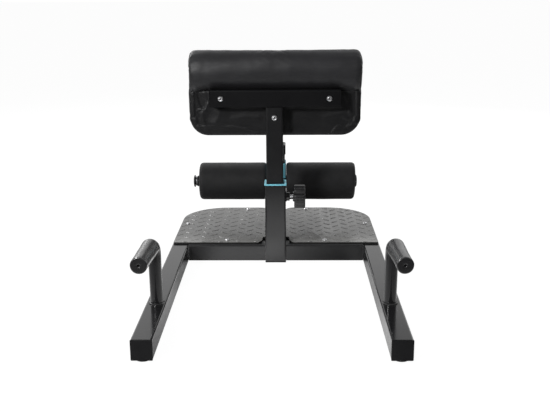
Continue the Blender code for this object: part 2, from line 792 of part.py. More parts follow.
def pad_section(x):
    """The points of one cross section of the cushion, rear side and front side."""
    half = PAD_WIDTH / 2
    side = abs(x) / half
    from_edge = half - abs(x)
    slab, roll = pad_levels()
    drop = 0.0
    if from_edge < PAD_CORNER:
        run = PAD_CORNER - from_edge
        drop = PAD_CORNER - math.sqrt(max(PAD_CORNER ** 2 - run ** 2, 0.0))
    drop = min(drop, 0.8 * PAD_CORNER)
    bottom = PAD_BOTTOM + drop
    slab_height = ROLL_UNDERSIDE - bottom
    edge = PAD_EDGE * max(0.0, 1.0 - from_edge / (2 * PAD_EDGE)) ** 2
    crown = PAD_CROWN * (1.0 - side ** 2)
    roll_centre = Vector(((PAD_FRONT + ROLL_REAR) / 2, (PAD_TOP + ROLL_UNDERSIDE) / 2))
    shrink = 1.0 - edge / (PAD_TOP - ROLL_UNDERSIDE) * 1.6
    rows = []
    for share, rear, front in slab:
        waist = PAD_WAIST * side ** 3 * math.sin(math.pi * min(share, 1.0))
        z = bottom + share * slab_height
        swell = crown * math.sin(math.pi * share) if share > 0 else 0.0
        width = math.copysign(abs(x) - waist, x)
        rows.append(((width, rear + edge * 0.5, z), (width, front + swell - edge, z)))
    for rear, front in roll:
        pair = []
        for spot in (rear, front):
            moved = roll_centre + (Vector(spot) - roll_centre) * shrink
            pair.append((x, moved.x, moved.y))
        rows.append(tuple(pair))
    return rows


def make_cushion():
    """A coarse cage of cross sections, rounded by one step of subdivision."""
    half = PAD_WIDTH / 2
    distances = [0.22 * half, 0.64 * half, half - 0.038, half - 0.018, half - 0.006, half]
    stations = [-distance for distance in reversed(distances)] + distances
    shape = bmesh.new()
    sections = []
    for x in stations:
        rows = []
        for rear, front in pad_section(x):
            rows.append((shape.verts.new(rear), shape.verts.new(front)))
        sections.append(rows)
    for left, right in zip(sections, sections[1:]):
        for level in range(len(left) - 1):
            shape.faces.new((left[level][0], right[level][0],
                             right[level + 1][0], left[level + 1][0]))
            shape.faces.new((left[level][1], left[level + 1][1],
                             right[level + 1][1], right[level][1]))
        shape.faces.new((left[0][0], left[0][1], right[0][1], right[0][0]))
        shape.faces.new((left[-1][0], right[-1][0], right[-1][1], left[-1][1]))
    for level in range(len(sections[0]) - 1):
        first = sections[0]
        last = sections[-1]
        shape.faces.new((first[level][0], first[level + 1][0],
                         first[level + 1][1], first[level][1]))
        shape.faces.new((last[level][0], last[level][1],
                         last[level + 1][1], last[level + 1][0]))
    bmesh.ops.recalc_face_normals(shape, faces=shape.faces)
    mesh = bpy.data.meshes.new("pad_cushion")
    shape.to_mesh(mesh)
    shape.free()
    mesh.shade_smooth()
    cushion = bpy.data.objects.new("pad_cushion", mesh)
    parts.objects.link(cushion)
    rounding = cushion.modifiers.new("rounding", "SUBSURF")
    rounding.levels = 1
    rounding.render_levels = 1
    place(cushion, BLACK_VINYL, (0.0, 0.0, 0.0), holder=PAD_SLIDE)


# Lock knobs

def make_lock(name, face, turn, reach, boss_holder, knob_holder):
    """A clamp knob: a welded nut, a threaded stem and a lobed knob.

    The face is the point where the stem's axis leaves the outer tube, and local Z points
    away from the tube. The stem's tip lies as far inside the face as the reach says."""
    face = Vector(face)
    outwards = axis_of(turn)
    bore = LOCK_THREAD / 2 + GAP
    nut = LOCK_BOSS / 2
    boss_profile = [
        (bore, LOCK_BOSS_LENGTH),
        (nut - LOCK_CHAMFER, LOCK_BOSS_LENGTH),
        (nut, LOCK_BOSS_LENGTH - LOCK_CHAMFER),
        (nut, 0.0),
        (bore, 0.0),
    ]
    boss = turned(name + "_boss", boss_profile, closed=True, steps=PLUG_STEPS)
    place(boss, FRAME_PAINT, face + outwards * GAP, turn, boss_holder)

    radius = LOCK_THREAD / 2
    groove = radius - LOCK_THREAD_DEPTH
    stem_top = LOCK_LENGTH + KNOB_SOCKET_DEPTH - GAP
    profile = [(0.0, stem_top), (radius, stem_top), (radius, LOCK_LENGTH)]
    for turn_number in range(int(LOCK_SHOWN / LOCK_PITCH)):
        height = LOCK_LENGTH - turn_number * LOCK_PITCH
        profile.append((groove, height - LOCK_PITCH * 0.30))
        profile.append((groove, height - LOCK_PITCH * 0.50))
        profile.append((radius, height - LOCK_PITCH * 0.80))
    profile.append((radius, -reach + LOCK_CHAMFER))
    profile.append((radius - LOCK_CHAMFER, -reach))
    profile.append((0.0, -reach))
    stem = turned(name + "_screw", profile, steps=SCREW_STEPS)
    place(stem, ZINC_STEEL, face, turn, knob_holder)

    knob = turned_lobes(name + "_knob")
    body_start = LOCK_LENGTH + KNOB_HUB_LENGTH
    body_middle = face + outwards * (body_start + KNOB_THICKNESS / 2)
    place(knob, BLACK_PLASTIC, body_middle, turn, knob_holder)
    hub_length = KNOB_HUB_LENGTH + KNOB_HUB_OVERLAP
    hub_middle = face + outwards * (LOCK_LENGTH + hub_length / 2)
    hub = round_cutter(name + "_hub", KNOB_HUB / 2, hub_length, hub_middle, turn,
                       knob_holder)
    combine(knob, hub, "UNION")
    socket = round_cutter(name + "_socket", bore, 2 * KNOB_SOCKET_DEPTH,
                          face + outwards * LOCK_LENGTH, turn, knob_holder)
    cut(knob, socket)


def turned_lobes(name):
    """The knob's lobed disc, with softened rims."""
    steps = KNOB_LOBES * KNOB_LOBE_STEPS
    outline = []
    for step in range(steps):
        angle = 2 * math.pi * step / steps
        dip = (1 - math.cos(KNOB_LOBES * angle)) / 2
        radius = KNOB_DIAMETER / 2 - KNOB_LOBE_DEPTH * dip ** 2
        outline.append((radius * math.cos(angle), radius * math.sin(angle)))
    disc = extruded(name, outline, KNOB_THICKNESS)
    add_bevel(disc, KNOB_ROUNDING, angle=math.radians(60))
    return disc


# Ankle rollers

def make_upright():
    bottom = FRAME_TOP + GAP
    upright = square_tube("upright", UPRIGHT, POST_WALL, POST_CORNER, UPRIGHT_TOP - bottom)
    place(upright, FRAME_PAINT, (0.0, UPRIGHT_Y, (UPRIGHT_TOP + bottom) / 2))
    skirt_bottom = UPRIGHT_TOP - UPRIGHT_CAP_SKIRT
    cap_top = UPRIGHT_TOP + GAP + UPRIGHT_CAP_CROWN
    outline = rounded_rectangle(UPRIGHT_CAP, UPRIGHT_CAP, UPRIGHT_CAP_CORNER)
    cap = extruded("upright_cap", outline, cap_top - skirt_bottom)
    place(cap, BLACK_PLASTIC, (0.0, UPRIGHT_Y, (cap_top + skirt_bottom) / 2))
    add_bevel(cap, UPRIGHT_CAP_ROUNDING, segments=3, angle=math.radians(60))
    pocket_size = UPRIGHT + 2 * GAP
    pocket_depth = 2 * (UPRIGHT_CAP_SKIRT + GAP)
    pocket = square_cutter("cap_pocket", pocket_size, POST_CORNER, pocket_depth,
                           (0.0, UPRIGHT_Y, skirt_bottom))
    cut(cap, pocket)


def make_roller_carriage():
    """The sliding sleeve, its plastic collar and the two axle stubs welded to its sides."""
    sleeve = square_tube("carriage_sleeve", CARRIAGE, CARRIAGE_WALL, POST_CORNER,
                         CARRIAGE_TOP - CARRIAGE_BOTTOM)
    place(sleeve, FRAME_PAINT, (0.0, UPRIGHT_Y, (CARRIAGE_TOP + CARRIAGE_BOTTOM) / 2),
          holder=ROLLER_SLIDE)
    hole = round_cutter("carriage_lock_hole", LOCK_THREAD / 2 + GAP, CARRIAGE / 2,
                        ROLLER_LOCK_FACE, ALONG_Y, ROLLER_SLIDE)
    cut(sleeve, hole)
    collar_wall = (COLLAR - UPRIGHT) / 2 - SLIDING
    collar = square_tube("carriage_collar", COLLAR, collar_wall, POST_CORNER, COLLAR_HEIGHT)
    place(collar, BLUE_PLASTIC, (0.0, UPRIGHT_Y, COLLAR_BOTTOM + COLLAR_HEIGHT / 2),
          holder=ROLLER_SLIDE)


def make_roller(side_name, side, turn):
    """One roller on its axle stub: stub, core tube, foam sleeve and end plug."""
    start = CARRIAGE / 2 + GAP
    end = ROLLER_OUTER_X + AXLE_STAND_OUT
    plug_face = end + GAP
    if side_name == "left":
        end += LEFT_AXLE_EXTRA
        plug_face = end + LEFT_PLUG_PULLED
    axle = round_tube("axle_" + side_name, AXLE, AXLE_WALL, end - start)
    place(axle, AXLE_STEEL, (side * (start + end) / 2, UPRIGHT_Y, ROLLER_HEIGHT), turn,
          ROLLER_SLIDE)
    holder = ROLLER_AXIS[side_name]
    middle = (side * ROLLER_MID_X, UPRIGHT_Y, ROLLER_HEIGHT)
    core = round_tube("roller_core_" + side_name, CORE_DIAMETER, CORE_WALL, ROLLER_LENGTH)
    place(core, BLACK_PLASTIC, middle, turn, holder)

    bore = CORE_DIAMETER / 2 + GAP
    radius = ROLLER_DIAMETER / 2
    half = ROLLER_LENGTH / 2
    soft = ROLLER_ROUNDING
    profile = [(bore, half)]
    for x, y in reversed(arc((radius - soft, half - soft), soft, 0, 90, 3)):
        profile.append((x, y))
    for x, y in reversed(arc((radius - soft, -half + soft), soft, 270, 360, 3)):
        profile.append((x, y))
    profile.append((bore, -half))
    foam = turned("roller_foam_" + side_name, profile, closed=True, steps=ROLLER_STEPS)
    place(foam, BLACK_FOAM, middle, turn, holder)

    flange = AXLE_PLUG_FLANGE / 2
    insert = AXLE / 2 - AXLE_WALL - GAP
    height = AXLE_PLUG_HEIGHT
    plug_profile = [
        (0.0, height),
        (flange * 0.55, height * 0.92),
        (flange * 0.88, height * 0.66),
        (flange, height * 0.30),
        (flange, 0.0),
        (insert, 0.0),
        (insert, -AXLE_PLUG_DEPTH + AXLE_PLUG_CHAMFER),
        (insert - AXLE_PLUG_CHAMFER, -AXLE_PLUG_DEPTH),
        (0.0, -AXLE_PLUG_DEPTH),
    ]
    plug = turned("axle_plug_" + side_name, plug_profile, steps=PLUG_STEPS)
    place(plug, BLACK_PLASTIC, (side * plug_face, UPRIGHT_Y, ROLLER_HEIGHT), turn,
          ROLLER_SLIDE)


SIDES = (("left", -1, ALONG_MINUS_X), ("right", 1, ALONG_X))

for side_name, side, turn in SIDES:
    make_rail(side_name, side)
    make_foot("foot_rail_" + side_name, side * RAIL_X, -RAIL_BEHIND + FOOT_INSET)
    make_rear_crossbar(side_name, side)
    make_foot_plate(side_name, side)
    make_handle(side_name, side)
    make_roller(side_name, side, turn)

make_front_frame()
make_post()
make_pad_carriage()
make_board()
make_cushion()
make_upright()
make_roller_carriage()
make_lock("pad_lock", PAD_LOCK_FACE, ALONG_X, PAD_LOCK_REACH, MACHINE, PAD_LOCK)
make_lock("roller_lock", ROLLER_LOCK_FACE, ALONG_Y, ROLLER_LOCK_REACH, ROLLER_SLIDE,
          ROLLER_LOCK)
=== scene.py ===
"""Looks of the squat machine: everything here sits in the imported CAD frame, in metres.

+X is the user's right seen from behind the pad, +Y points to the toes, +Z is up. The
machine's pad post stands at x = 0, y = POST_Y.
"""

import itertools
import math

import bmesh
import bpy
import numpy as np
from mathutils import Matrix, Vector


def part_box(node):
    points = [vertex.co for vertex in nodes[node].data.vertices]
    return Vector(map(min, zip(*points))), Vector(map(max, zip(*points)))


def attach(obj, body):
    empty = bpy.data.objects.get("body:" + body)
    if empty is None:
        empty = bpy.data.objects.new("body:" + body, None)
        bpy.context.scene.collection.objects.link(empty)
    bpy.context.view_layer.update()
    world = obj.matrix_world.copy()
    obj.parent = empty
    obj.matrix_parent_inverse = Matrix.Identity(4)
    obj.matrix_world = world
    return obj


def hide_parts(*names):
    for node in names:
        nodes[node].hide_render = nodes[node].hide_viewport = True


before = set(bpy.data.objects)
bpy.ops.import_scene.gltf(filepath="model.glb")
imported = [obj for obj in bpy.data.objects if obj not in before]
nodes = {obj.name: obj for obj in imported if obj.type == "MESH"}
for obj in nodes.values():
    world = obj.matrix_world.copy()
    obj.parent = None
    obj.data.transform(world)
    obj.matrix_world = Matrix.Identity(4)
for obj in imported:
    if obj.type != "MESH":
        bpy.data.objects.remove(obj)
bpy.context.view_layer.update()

# Sizes of the machine; the handle tubes' and the grips' are those of the photograph
POST_Y = 0.1295
POST_HALF = 0.025
PAD_LOCK_Z = 0.161
ROLLER_LOCK_Z = 0.134
RAIL_X = 0.2325
FRAME_BOTTOM = 0.0041
FRAME_TOP = 0.0441
TUBE = 0.040
PLATE_TOP = 0.0484
PLATE_NEAR = POST_Y - 0.010
NEAR_LIGHT_REACH = 0.075
HANDLE_RADIUS = 0.0126
HANDLE_INSET = 0.0016
HANDLE_AXIS_Z = 0.167
HANDLE_Y = POST_Y - 0.397
HANDLE_BEND = 0.022
HANDLE_REACH = 0.130
HANDLE_SPLAY = 0.007
GRIP_LENGTH = 0.1057
GRIP_LEAN_OUT = 0.0015
GRIP_LEAN_UP = 0.0005
THREAD_PITCH = 0.002
UPRIGHT_Y = POST_Y + 0.200
ROLLER_Z = 0.1533
SIDES = (("left", -1), ("right", 1))
PLATE_SCREWS = ("rail", "rear", "front")
UP = Vector((0.0, 0.0, 1.0))


def linked(name, data):
    """A new object in the scene for some data."""
    thing = bpy.data.objects.new(name, data)
    bpy.context.scene.collection.objects.link(thing)
    return thing


# Camera at the photograph's viewpoint

CAMERA_PLACE = (0.027774, -1.789845, 0.645444)
CAMERA_YAW = math.radians(-0.872)
CAMERA_PITCH = math.radians(14.834)
CAMERA_ROLL = math.radians(0.327)
CAMERA_LENS = 53.67


def add_camera():
    forward = Vector((math.sin(CAMERA_YAW) * math.cos(CAMERA_PITCH),
                      math.cos(CAMERA_YAW) * math.cos(CAMERA_PITCH),
                      -math.sin(CAMERA_PITCH)))
    right = Vector((math.cos(CAMERA_YAW), -math.sin(CAMERA_YAW), 0.0))
    down = forward.cross(right)
    turned_right = right * math.cos(CAMERA_ROLL) + down * math.sin(CAMERA_ROLL)
    turned_down = down * math.cos(CAMERA_ROLL) - right * math.sin(CAMERA_ROLL)
    data = bpy.data.cameras.new("camera")
    data.lens = CAMERA_LENS
    data.sensor_width = 36.0
    data.clip_start = 0.05
    data.clip_end = 60.0
    camera = linked("camera", data)
    axes = Matrix((turned_right, -turned_down, -forward)).transposed()
    camera.matrix_world = Matrix.Translation(CAMERA_PLACE) @ axes.to_4x4()
    bpy.context.scene.camera = camera


add_camera()
bpy.context.scene.view_settings.view_transform = "Standard"


# Node helpers

class Net:
    """Short ways to add nodes to a node tree; each input is a socket or a plain value."""

    def __init__(self, tree):
        self.tree = tree

    def feed(self, socket, value):
        if isinstance(value, bpy.types.NodeSocket):
            self.tree.links.new(value, socket)
        elif isinstance(value, tuple) and socket.type == "RGBA":
            socket.default_value = (*value, 1.0)
        else:
            socket.default_value = value

    def add(self, kind, *ordered, settings=(), **named):
        """A node whose inputs are fed in their order or by their names."""
        node = self.tree.nodes.new("ShaderNode" + kind)
        for setting, value in settings:
            setattr(node, setting, value)
        for socket, value in zip(node.inputs, ordered):
            self.feed(socket, value)
        for name, value in named.items():
            self.feed(node.inputs[name.replace("_", " ")], value)
        return node

    def first(self, kind, *ordered, **named):
        """The first output of such a node."""
        return self.add(kind, *ordered, **named).outputs[0]

    def maths(self, operation, *values):
        return self.first("Math", *values, settings=(("operation", operation),))

    def times(self, one, other):
        return self.maths("MULTIPLY", one, other)

    def plus(self, one, other):
        return self.maths("ADD", one, other)

    def less(self, one, other):
        return self.maths("SUBTRACT", one, other)

    def axes(self, vector):
        return self.add("SeparateXYZ", vector).outputs

    def ramp(self, value, low, high, to_low=0.0, to_high=1.0, kind="LINEAR"):
        node = self.add("MapRange", settings=(("interpolation_type", kind),), Value=value,
                        From_Min=low, From_Max=high, To_Min=to_low, To_Max=to_high)
        return node.outputs["Result"]

    def ease(self, value, low, high, to_low=0.0, to_high=1.0):
        return self.ramp(value, low, high, to_low, to_high, "SMOOTHSTEP")

    def mix(self, factor, one, other):
        node = self.add("Mix", settings=(("data_type", "RGBA"),))
        for index, value in ((0, factor), (6, one), (7, other)):
            self.feed(node.inputs[index], value)
        return node.outputs[2]

    def noise(self, spot, scale, detail=3.0, roughness=0.5):
        return self.add("TexNoise", Vector=spot, Scale=scale, Detail=detail,
                        Roughness=roughness).outputs["Fac"]

    def cells(self, spot, scale, feature="DISTANCE_TO_EDGE"):
        return self.add("TexVoronoi", settings=(("feature", feature),), Vector=spot,
                        Scale=scale).outputs["Distance"]

    def stretched(self, spot, scale):
        return self.add("Mapping", Vector=spot, Scale=scale).outputs["Vector"]

    def bump(self, shader, height, depth, strength=1.0, **under):
        normal = self.add("Bump", Height=height, Distance=depth, Strength=strength,
                          **under).outputs["Normal"]
        self.feed(shader["Normal"], normal)
        return normal

    def clouded(self, clouds, dark, light):
        return self.mix(self.ramp(clouds, 0.3, 0.7), dark, light)

    def around(self, clouds, middle, spread):
        return self.ramp(clouds, 0.3, 0.7, middle - spread, middle + spread)


# Stage: pale floor, white surroundings and plain soft lamps

FLOOR_SIZE = 90.0
FLOOR_GLOW = 0.96
FLOOR_SHADOW_SHARE = 0.10
FLOOR_ALBEDO = 0.56
FLOOR_MIRROR = 0.95
FLOOR_MIRROR_GLOW = 0.14
FLOOR_DARK_Y = -0.92
FLOOR_BRIGHT_Y = -0.05
FLOOR_DARK = 0.05
AMBIENT = 0.15
OBJECT_MIDDLE = Vector((0.0, 0.05, 0.15))

# Each lamp's name, place, size, power and whether the object mirrors it
LAMPS = (
    ("overhead", (0.0, 0.3, 2.4), (2.2, 2.2), 22.0, False),
    ("key", (-1.175, -1.83, 1.14), (0.34, 0.26), 28.5, True),
    ("left", (-2.2, 0.3, 1.0), (1.6, 1.2), 5.0, False),
    ("far_left", (-1.30, 1.95, 1.65), (0.55, 0.55), 14.0, True),
    ("front", (1.05, 2.30, 1.20), (0.90, 0.70), 22.0, False),
)


def beside_rails(net, x, y):
    """Shades the mirrored floor: darker in the frame's far corners and far out to both sides."""
    across = net.ease(x, -0.03, 0.13, 1.62, 0.45)
    right = net.ease(x, 0.160, 0.200, 0.0, 0.5)
    left = net.ease(x, -0.200, -0.130, 0.42, 1.0)
    far_end = net.maths("MULTIPLY_ADD", across, left, net.less(right, 1.0))
    viewer = net.times(net.ease(y, -0.38, -0.12, 0.45, -0.25), net.ease(x, 0.10, 0.18))
    change = net.plus(net.times(far_end, net.ease(y, -0.16, 0.0)), viewer)
    out = net.maths("ABSOLUTE", x)
    near = net.plus(1.0, net.times(net.maths("LESS_THAN", out, RAIL_X), change))
    return net.times(near, net.ease(out, 0.25, 0.90, 1.0, 0.15))


def seen_directly(net, ray):
    return net.maths("MAXIMUM", ray["Is Camera Ray"], ray["Is Transmission Ray"])


def floor_material():
    """Bright to the viewer, plain under the lamps, and shaded by place in the gloss."""
    material = bpy.data.materials.new("floor")
    material.use_nodes = True
    made = material.node_tree.nodes
    made.remove(made["Principled BSDF"])
    net = Net(material.node_tree)
    ray = net.add("LightPath").outputs
    x, y, _ = net.axes(net.add("NewGeometry").outputs["Position"])
    real = net.first("BsdfDiffuse", Color=(FLOOR_ALBEDO,) * 3)
    seen = net.first("AddShader", net.first("BsdfDiffuse", Color=(FLOOR_SHADOW_SHARE,) * 3),
                     net.first("Emission", Strength=FLOOR_GLOW))
    fade = net.ease(y, FLOOR_DARK_Y, FLOOR_BRIGHT_Y, FLOOR_DARK, 1.0)
    fade = net.times(fade, beside_rails(net, x, y))
    lit = net.first("BsdfDiffuse", Color=net.times(fade, FLOOR_MIRROR))
    faint = net.first("Emission", Strength=net.times(fade, FLOOR_MIRROR_GLOW))
    in_gloss = net.first("MixShader", ray["Is Glossy Ray"], real,
                         net.first("AddShader", lit, faint))
    choice = net.first("MixShader", seen_directly(net, ray), in_gloss, seen)
    net.feed(made["Material Output"].inputs["Surface"], choice)
    return material


def add_floor():
    mesh = bpy.data.meshes.new("floor")
    half = FLOOR_SIZE / 2
    mesh.from_pydata([(-half, -half, 0.0), (half, -half, 0.0), (half, half, 0.0),
                      (-half, half, 0.0)], [], [(0, 1, 2, 3)])
    mesh.materials.append(floor_material())
    linked("floor", mesh)


def add_world():
    """White for the camera; in reflections white beyond the object and dim behind the viewer."""
    world = bpy.data.worlds.new("studio")
    bpy.context.scene.world = world
    world.use_nodes = True
    net = Net(world.node_tree)
    background = world.node_tree.nodes["Background"].inputs
    ray = net.add("LightPath").outputs
    x, y, z = net.axes(net.add("TexCoord").outputs["Generated"])
    ahead = net.ease(y, 0.0, 0.55)
    band = net.times(net.ease(z, 0.33, 0.41), net.ease(z, 0.46, 0.60, 1.0, 0.0))
    band = net.times(band, net.ramp(x, -0.19, 0.15, 0.12, 0.45))
    beyond = net.times(net.ease(x, -0.70, 0.0, 1.05, 0.78), net.less(1.0, band))
    above_viewer = net.times(net.ease(z, 0.10, 0.34, 0.03, 0.35),
                             net.ease(z, 0.50, 0.80, 1.0, 0.35))
    leftwards = net.ease(x, -0.95, -0.55, 0.75, 0.0)
    behind = net.maths("MAXIMUM", above_viewer, leftwards)
    level = net.maths("MULTIPLY_ADD", behind, net.less(1.0, ahead), net.times(ahead, beyond))
    glossy = net.times(ray["Is Glossy Ray"], net.less(level, AMBIENT))
    seen = net.times(seen_directly(net, ray), 1.0 - AMBIENT)
    net.feed(background["Strength"], net.plus(net.plus(glossy, AMBIENT), seen))
    background["Color"].default_value = (1.0, 1.0, 1.0, 1.0)


def add_lamps():
    for name, place, size, power, mirrored in LAMPS:
        data = bpy.data.lights.new(name, "AREA")
        data.shape = "RECTANGLE"
        data.size, data.size_y = size
        data.energy = power
        lamp = linked(name, data)
        lamp.location = place
        lamp.rotation_mode = "QUATERNION"
        lamp.rotation_quaternion = (OBJECT_MIDDLE - Vector(place)).to_track_quat("-Z", "Y")
        lamp.visible_camera = False
        lamp.visible_glossy = mirrored


add_floor()
add_world()
add_lamps()


# Surfaces

# Colour of a sheet's side faces
DARK_SIDE_COLOUR = (0.004, 0.004, 0.004)
# Painted shade: the colour that metal takes in its hollows
HOLLOW_SHADE = (0.04, 0.04, 0.04)
WORN_EDGE_RADIUS = 0.0012


def new_surface(name, metallic=0.0, specular=0.5, coat=0.0, coat_roughness=0.3, sheen=0.0):
    """A material with its net, its shader's sockets and the object's own coordinates."""
    material = bpy.data.materials.new(name)
    material.use_nodes = True
    shader = material.node_tree.nodes["Principled BSDF"].inputs
    shader["Metallic"].default_value = metallic
    shader["Specular IOR Level"].default_value = specular
    shader["Coat Weight"].default_value = coat
    shader["Coat Roughness"].default_value = coat_roughness
    shader["Sheen Weight"].default_value = sheen
    net = Net(material.node_tree)
    return material, net, shader, net.add("TexCoord").outputs["Object"]


def edge_share(net, radius):
    """How much a spot lies on a sharp edge, from the rounded normal's turn."""
    rounded = net.add("Bevel", settings=(("samples", 4),), Radius=radius)
    plain = net.add("NewGeometry")
    product = net.add("VectorMath", rounded.outputs["Normal"], plain.outputs["Normal"],
                      settings=(("operation", "DOT_PRODUCT"),))
    return net.ramp(product.outputs["Value"], 0.80, 0.995, 1.0, 0.0)


def painted(name, dark, light, roughness, spread, peel_depth, edge_colour, specular,
            near_light=None):
    """Powder coat: orange peel, faint clouding and thinner paint along the edges.

    Given a near-edge colour, a sheet gets near-black, matt side faces and painted light:
    a lighter colour at its near edge that fades out further back.
    """
    material, net, shader, spot = new_surface(name, specular=specular)
    clouds = net.noise(spot, 9.0, 4.0, 0.6)
    rubbed = net.times(edge_share(net, WORN_EDGE_RADIUS),
                       net.ramp(net.noise(spot, 60.0), 0.45, 0.65, 0.0, 0.8))
    colour = net.mix(rubbed, net.clouded(clouds, dark, light), edge_colour)
    smudges = net.noise(spot, 30.0, 5.0, 0.65)
    sheen = net.ramp(smudges, 0.25, 0.75, roughness - spread, roughness + spread)
    if near_light is not None:
        # Painted light: a lighter colour along the sheet's near edge, fading out further back
        _, y, _ = net.axes(spot)
        near_light_share = net.times(net.ease(y, PLATE_NEAR, PLATE_NEAR + NEAR_LIGHT_REACH, 1.0, 0.0),
                         net.ramp(clouds, 0.3, 0.7, 0.8, 1.0))
        # The sheet's side faces turn near black and rougher
        _, _, upwards = net.axes(net.add("NewGeometry").outputs["Normal"])
        cut = net.ramp(net.maths("ABSOLUTE", upwards), 0.2, 0.6, 1.0, 0.0)
        colour = net.mix(cut, net.mix(near_light_share, colour, near_light), DARK_SIDE_COLOUR)
        sheen = net.plus(sheen, net.times(cut, 0.6))
    net.feed(shader["Base Color"], colour)
    net.feed(shader["Roughness"], sheen)
    peel = net.plus(net.noise(spot, 650.0, 1.0), net.times(net.noise(spot, 2600.0, 1.0), 0.35))
    net.bump(shader, peel, peel_depth)
    return material


def moulded(name, dark, light, roughness, spread, grain, depth, specular=0.5):
    """Moulded plastic or rubber with a fine spark-eroded grain."""
    material, net, shader, spot = new_surface(name, specular=specular)
    net.feed(shader["Base Color"], net.clouded(net.noise(spot, 45.0, 4.0), dark, light))
    net.feed(shader["Roughness"], net.around(net.noise(spot, 80.0, 4.0), roughness, spread))
    texture = net.plus(net.noise(spot, grain, 2.0), net.times(net.cells(spot, grain * 0.6), 0.6))
    net.bump(shader, texture, depth)
    return material


def vinyl(name, dark, light, roughness, spread, specular=0.5):
    """Embossed vinyl: pebbled leather grain, soft pulls in the cloth behind it, worn sheen."""
    material, net, shader, spot = new_surface(name, specular=specular, sheen=0.03)
    pebble = net.cells(spot, 620.0)
    colour = net.clouded(net.noise(spot, 14.0, 5.0, 0.6), dark, light)
    # Painted shade: darker in the creases between the pebbles
    colour = net.mix(net.ramp(pebble, 0.0, 0.12, 0.55, 0.0), colour,
                     tuple(0.45 * part for part in dark))
    net.feed(shader["Base Color"], colour)
    rubbed = net.noise(spot, 22.0, 5.0, 0.65)
    net.feed(shader["Roughness"], net.around(rubbed, roughness, spread))
    grain = net.bump(shader, net.ease(pebble, 0.0, 0.25), 0.00006)
    pulls = net.noise(net.stretched(spot, (1.0, 1.0, 1.6)), 70.0, 2.0)
    net.bump(shader, pulls, 0.0006, 0.35, Normal=grain)
    return material


def foam(name, dark, light, roughness, spread, pore, depth, specular=0.4, sheen=0.1, coat=0.0):
    """Closed-cell foam with an open-pored skin."""
    material, net, shader, spot = new_surface(name, specular=specular, sheen=sheen, coat=coat,
                                              coat_roughness=0.20)
    patches = net.noise(spot, 26.0, 5.0, 0.6)
    pores = net.cells(spot, pore, "F1")
    # Painted shade: darker down in the pores
    colour = net.mix(net.ramp(pores, 0.0, 0.35, 0.6, 0.0), net.clouded(patches, dark, light),
                     tuple(0.4 * part for part in dark))
    net.feed(shader["Base Color"], colour)
    net.feed(shader["Roughness"], net.around(patches, roughness, -spread))
    skin = net.bump(shader, pores, depth)
    net.bump(shader, net.noise(spot, 110.0, 2.0), 0.0004, 0.25, Normal=skin)
    return material


def metal(name, colour, tint, roughness, spread, stretch, depth=0.00001):
    """Plated or brushed steel with fine lines along one axis and painted shade in its hollows."""
    material, net, shader, spot = new_surface(name, metallic=1.0)
    lines = net.noise(net.stretched(spot, stretch), 1.0)
    unshaded = net.mix(net.ramp(net.noise(spot, 160.0, 4.0), 0.35, 0.65), colour, tint)
    # Painted shade: the colour darkens where ambient occlusion finds a hollow, such as a socket
    hollow = net.add("AmbientOcclusion", settings=(("samples", 6), ("only_local", True)),
                     Distance=0.004)
    hollow_shade = net.ease(hollow.outputs["AO"], 0.35, 0.75, 0.85, 0.0)
    net.feed(shader["Base Color"], net.mix(hollow_shade, unshaded, HOLLOW_SHADE))
    net.feed(shader["Roughness"], net.around(lines, roughness, spread))
    net.bump(shader, lines, depth)
    return material


FRAME_PAINT = painted("frame_paint", (0.011, 0.011, 0.012), (0.0145, 0.0145, 0.0155), 0.14,
                      0.02, 0.000002, (0.020, 0.020, 0.020), specular=0.75)
HANDLE_PAINT = painted("handle_paint", (0.010, 0.010, 0.011), (0.0130, 0.0130, 0.0140), 0.18,
                       0.02, 0.000003, (0.020, 0.020, 0.020), specular=0.55)
# Painted highlight: the weld paint and its edges are lighter than the frame paint, standing in for
# glints on the beads
WELD_PAINT = painted("weld_paint", (0.020, 0.020, 0.021), (0.046, 0.046, 0.048), 0.19,
                     0.03, 0.000008, (0.07, 0.07, 0.07), specular=1.0)
PLATE_PAINT = painted("plate_paint", (0.079, 0.0785, 0.076), (0.094, 0.093, 0.090), 0.27,
                      0.03, 0.00002, (0.08, 0.08, 0.08), specular=1.0,
                      near_light=(0.24, 0.238, 0.229))
# Painted shade: the satin and post paints are darker copies of the frame paint, for the pad's
# cross bar and the inner post
SHADED_SATIN_PAINT = painted("shaded_satin_paint", (0.0075, 0.0075, 0.0083), (0.0100, 0.0100, 0.0108), 0.42,
                      0.04, 0.000012, (0.012, 0.012, 0.012), specular=0.12)
POST_PAINT = painted("post_paint", (0.0085, 0.0085, 0.0095), (0.0115, 0.0115, 0.0123), 0.36,
                     0.04, 0.000012, (0.014, 0.014, 0.014), specular=0.42)
BAR_PAINT = painted("bar_paint", (0.010, 0.010, 0.011), (0.0130, 0.0130, 0.0140), 0.31,
                    0.03, 0.000006, (0.018, 0.018, 0.018), specular=0.72)
BLACK_PLASTIC = moulded("black_plastic", (0.007, 0.007, 0.008), (0.010, 0.010, 0.011), 0.46,
                        0.06, 1500.0, 0.00003, specular=0.22)
KNOB_PLASTIC = moulded("knob_plastic", (0.014, 0.014, 0.015), (0.020, 0.020, 0.021), 0.30,
                       0.05, 1100.0, 0.00003, specular=0.8)
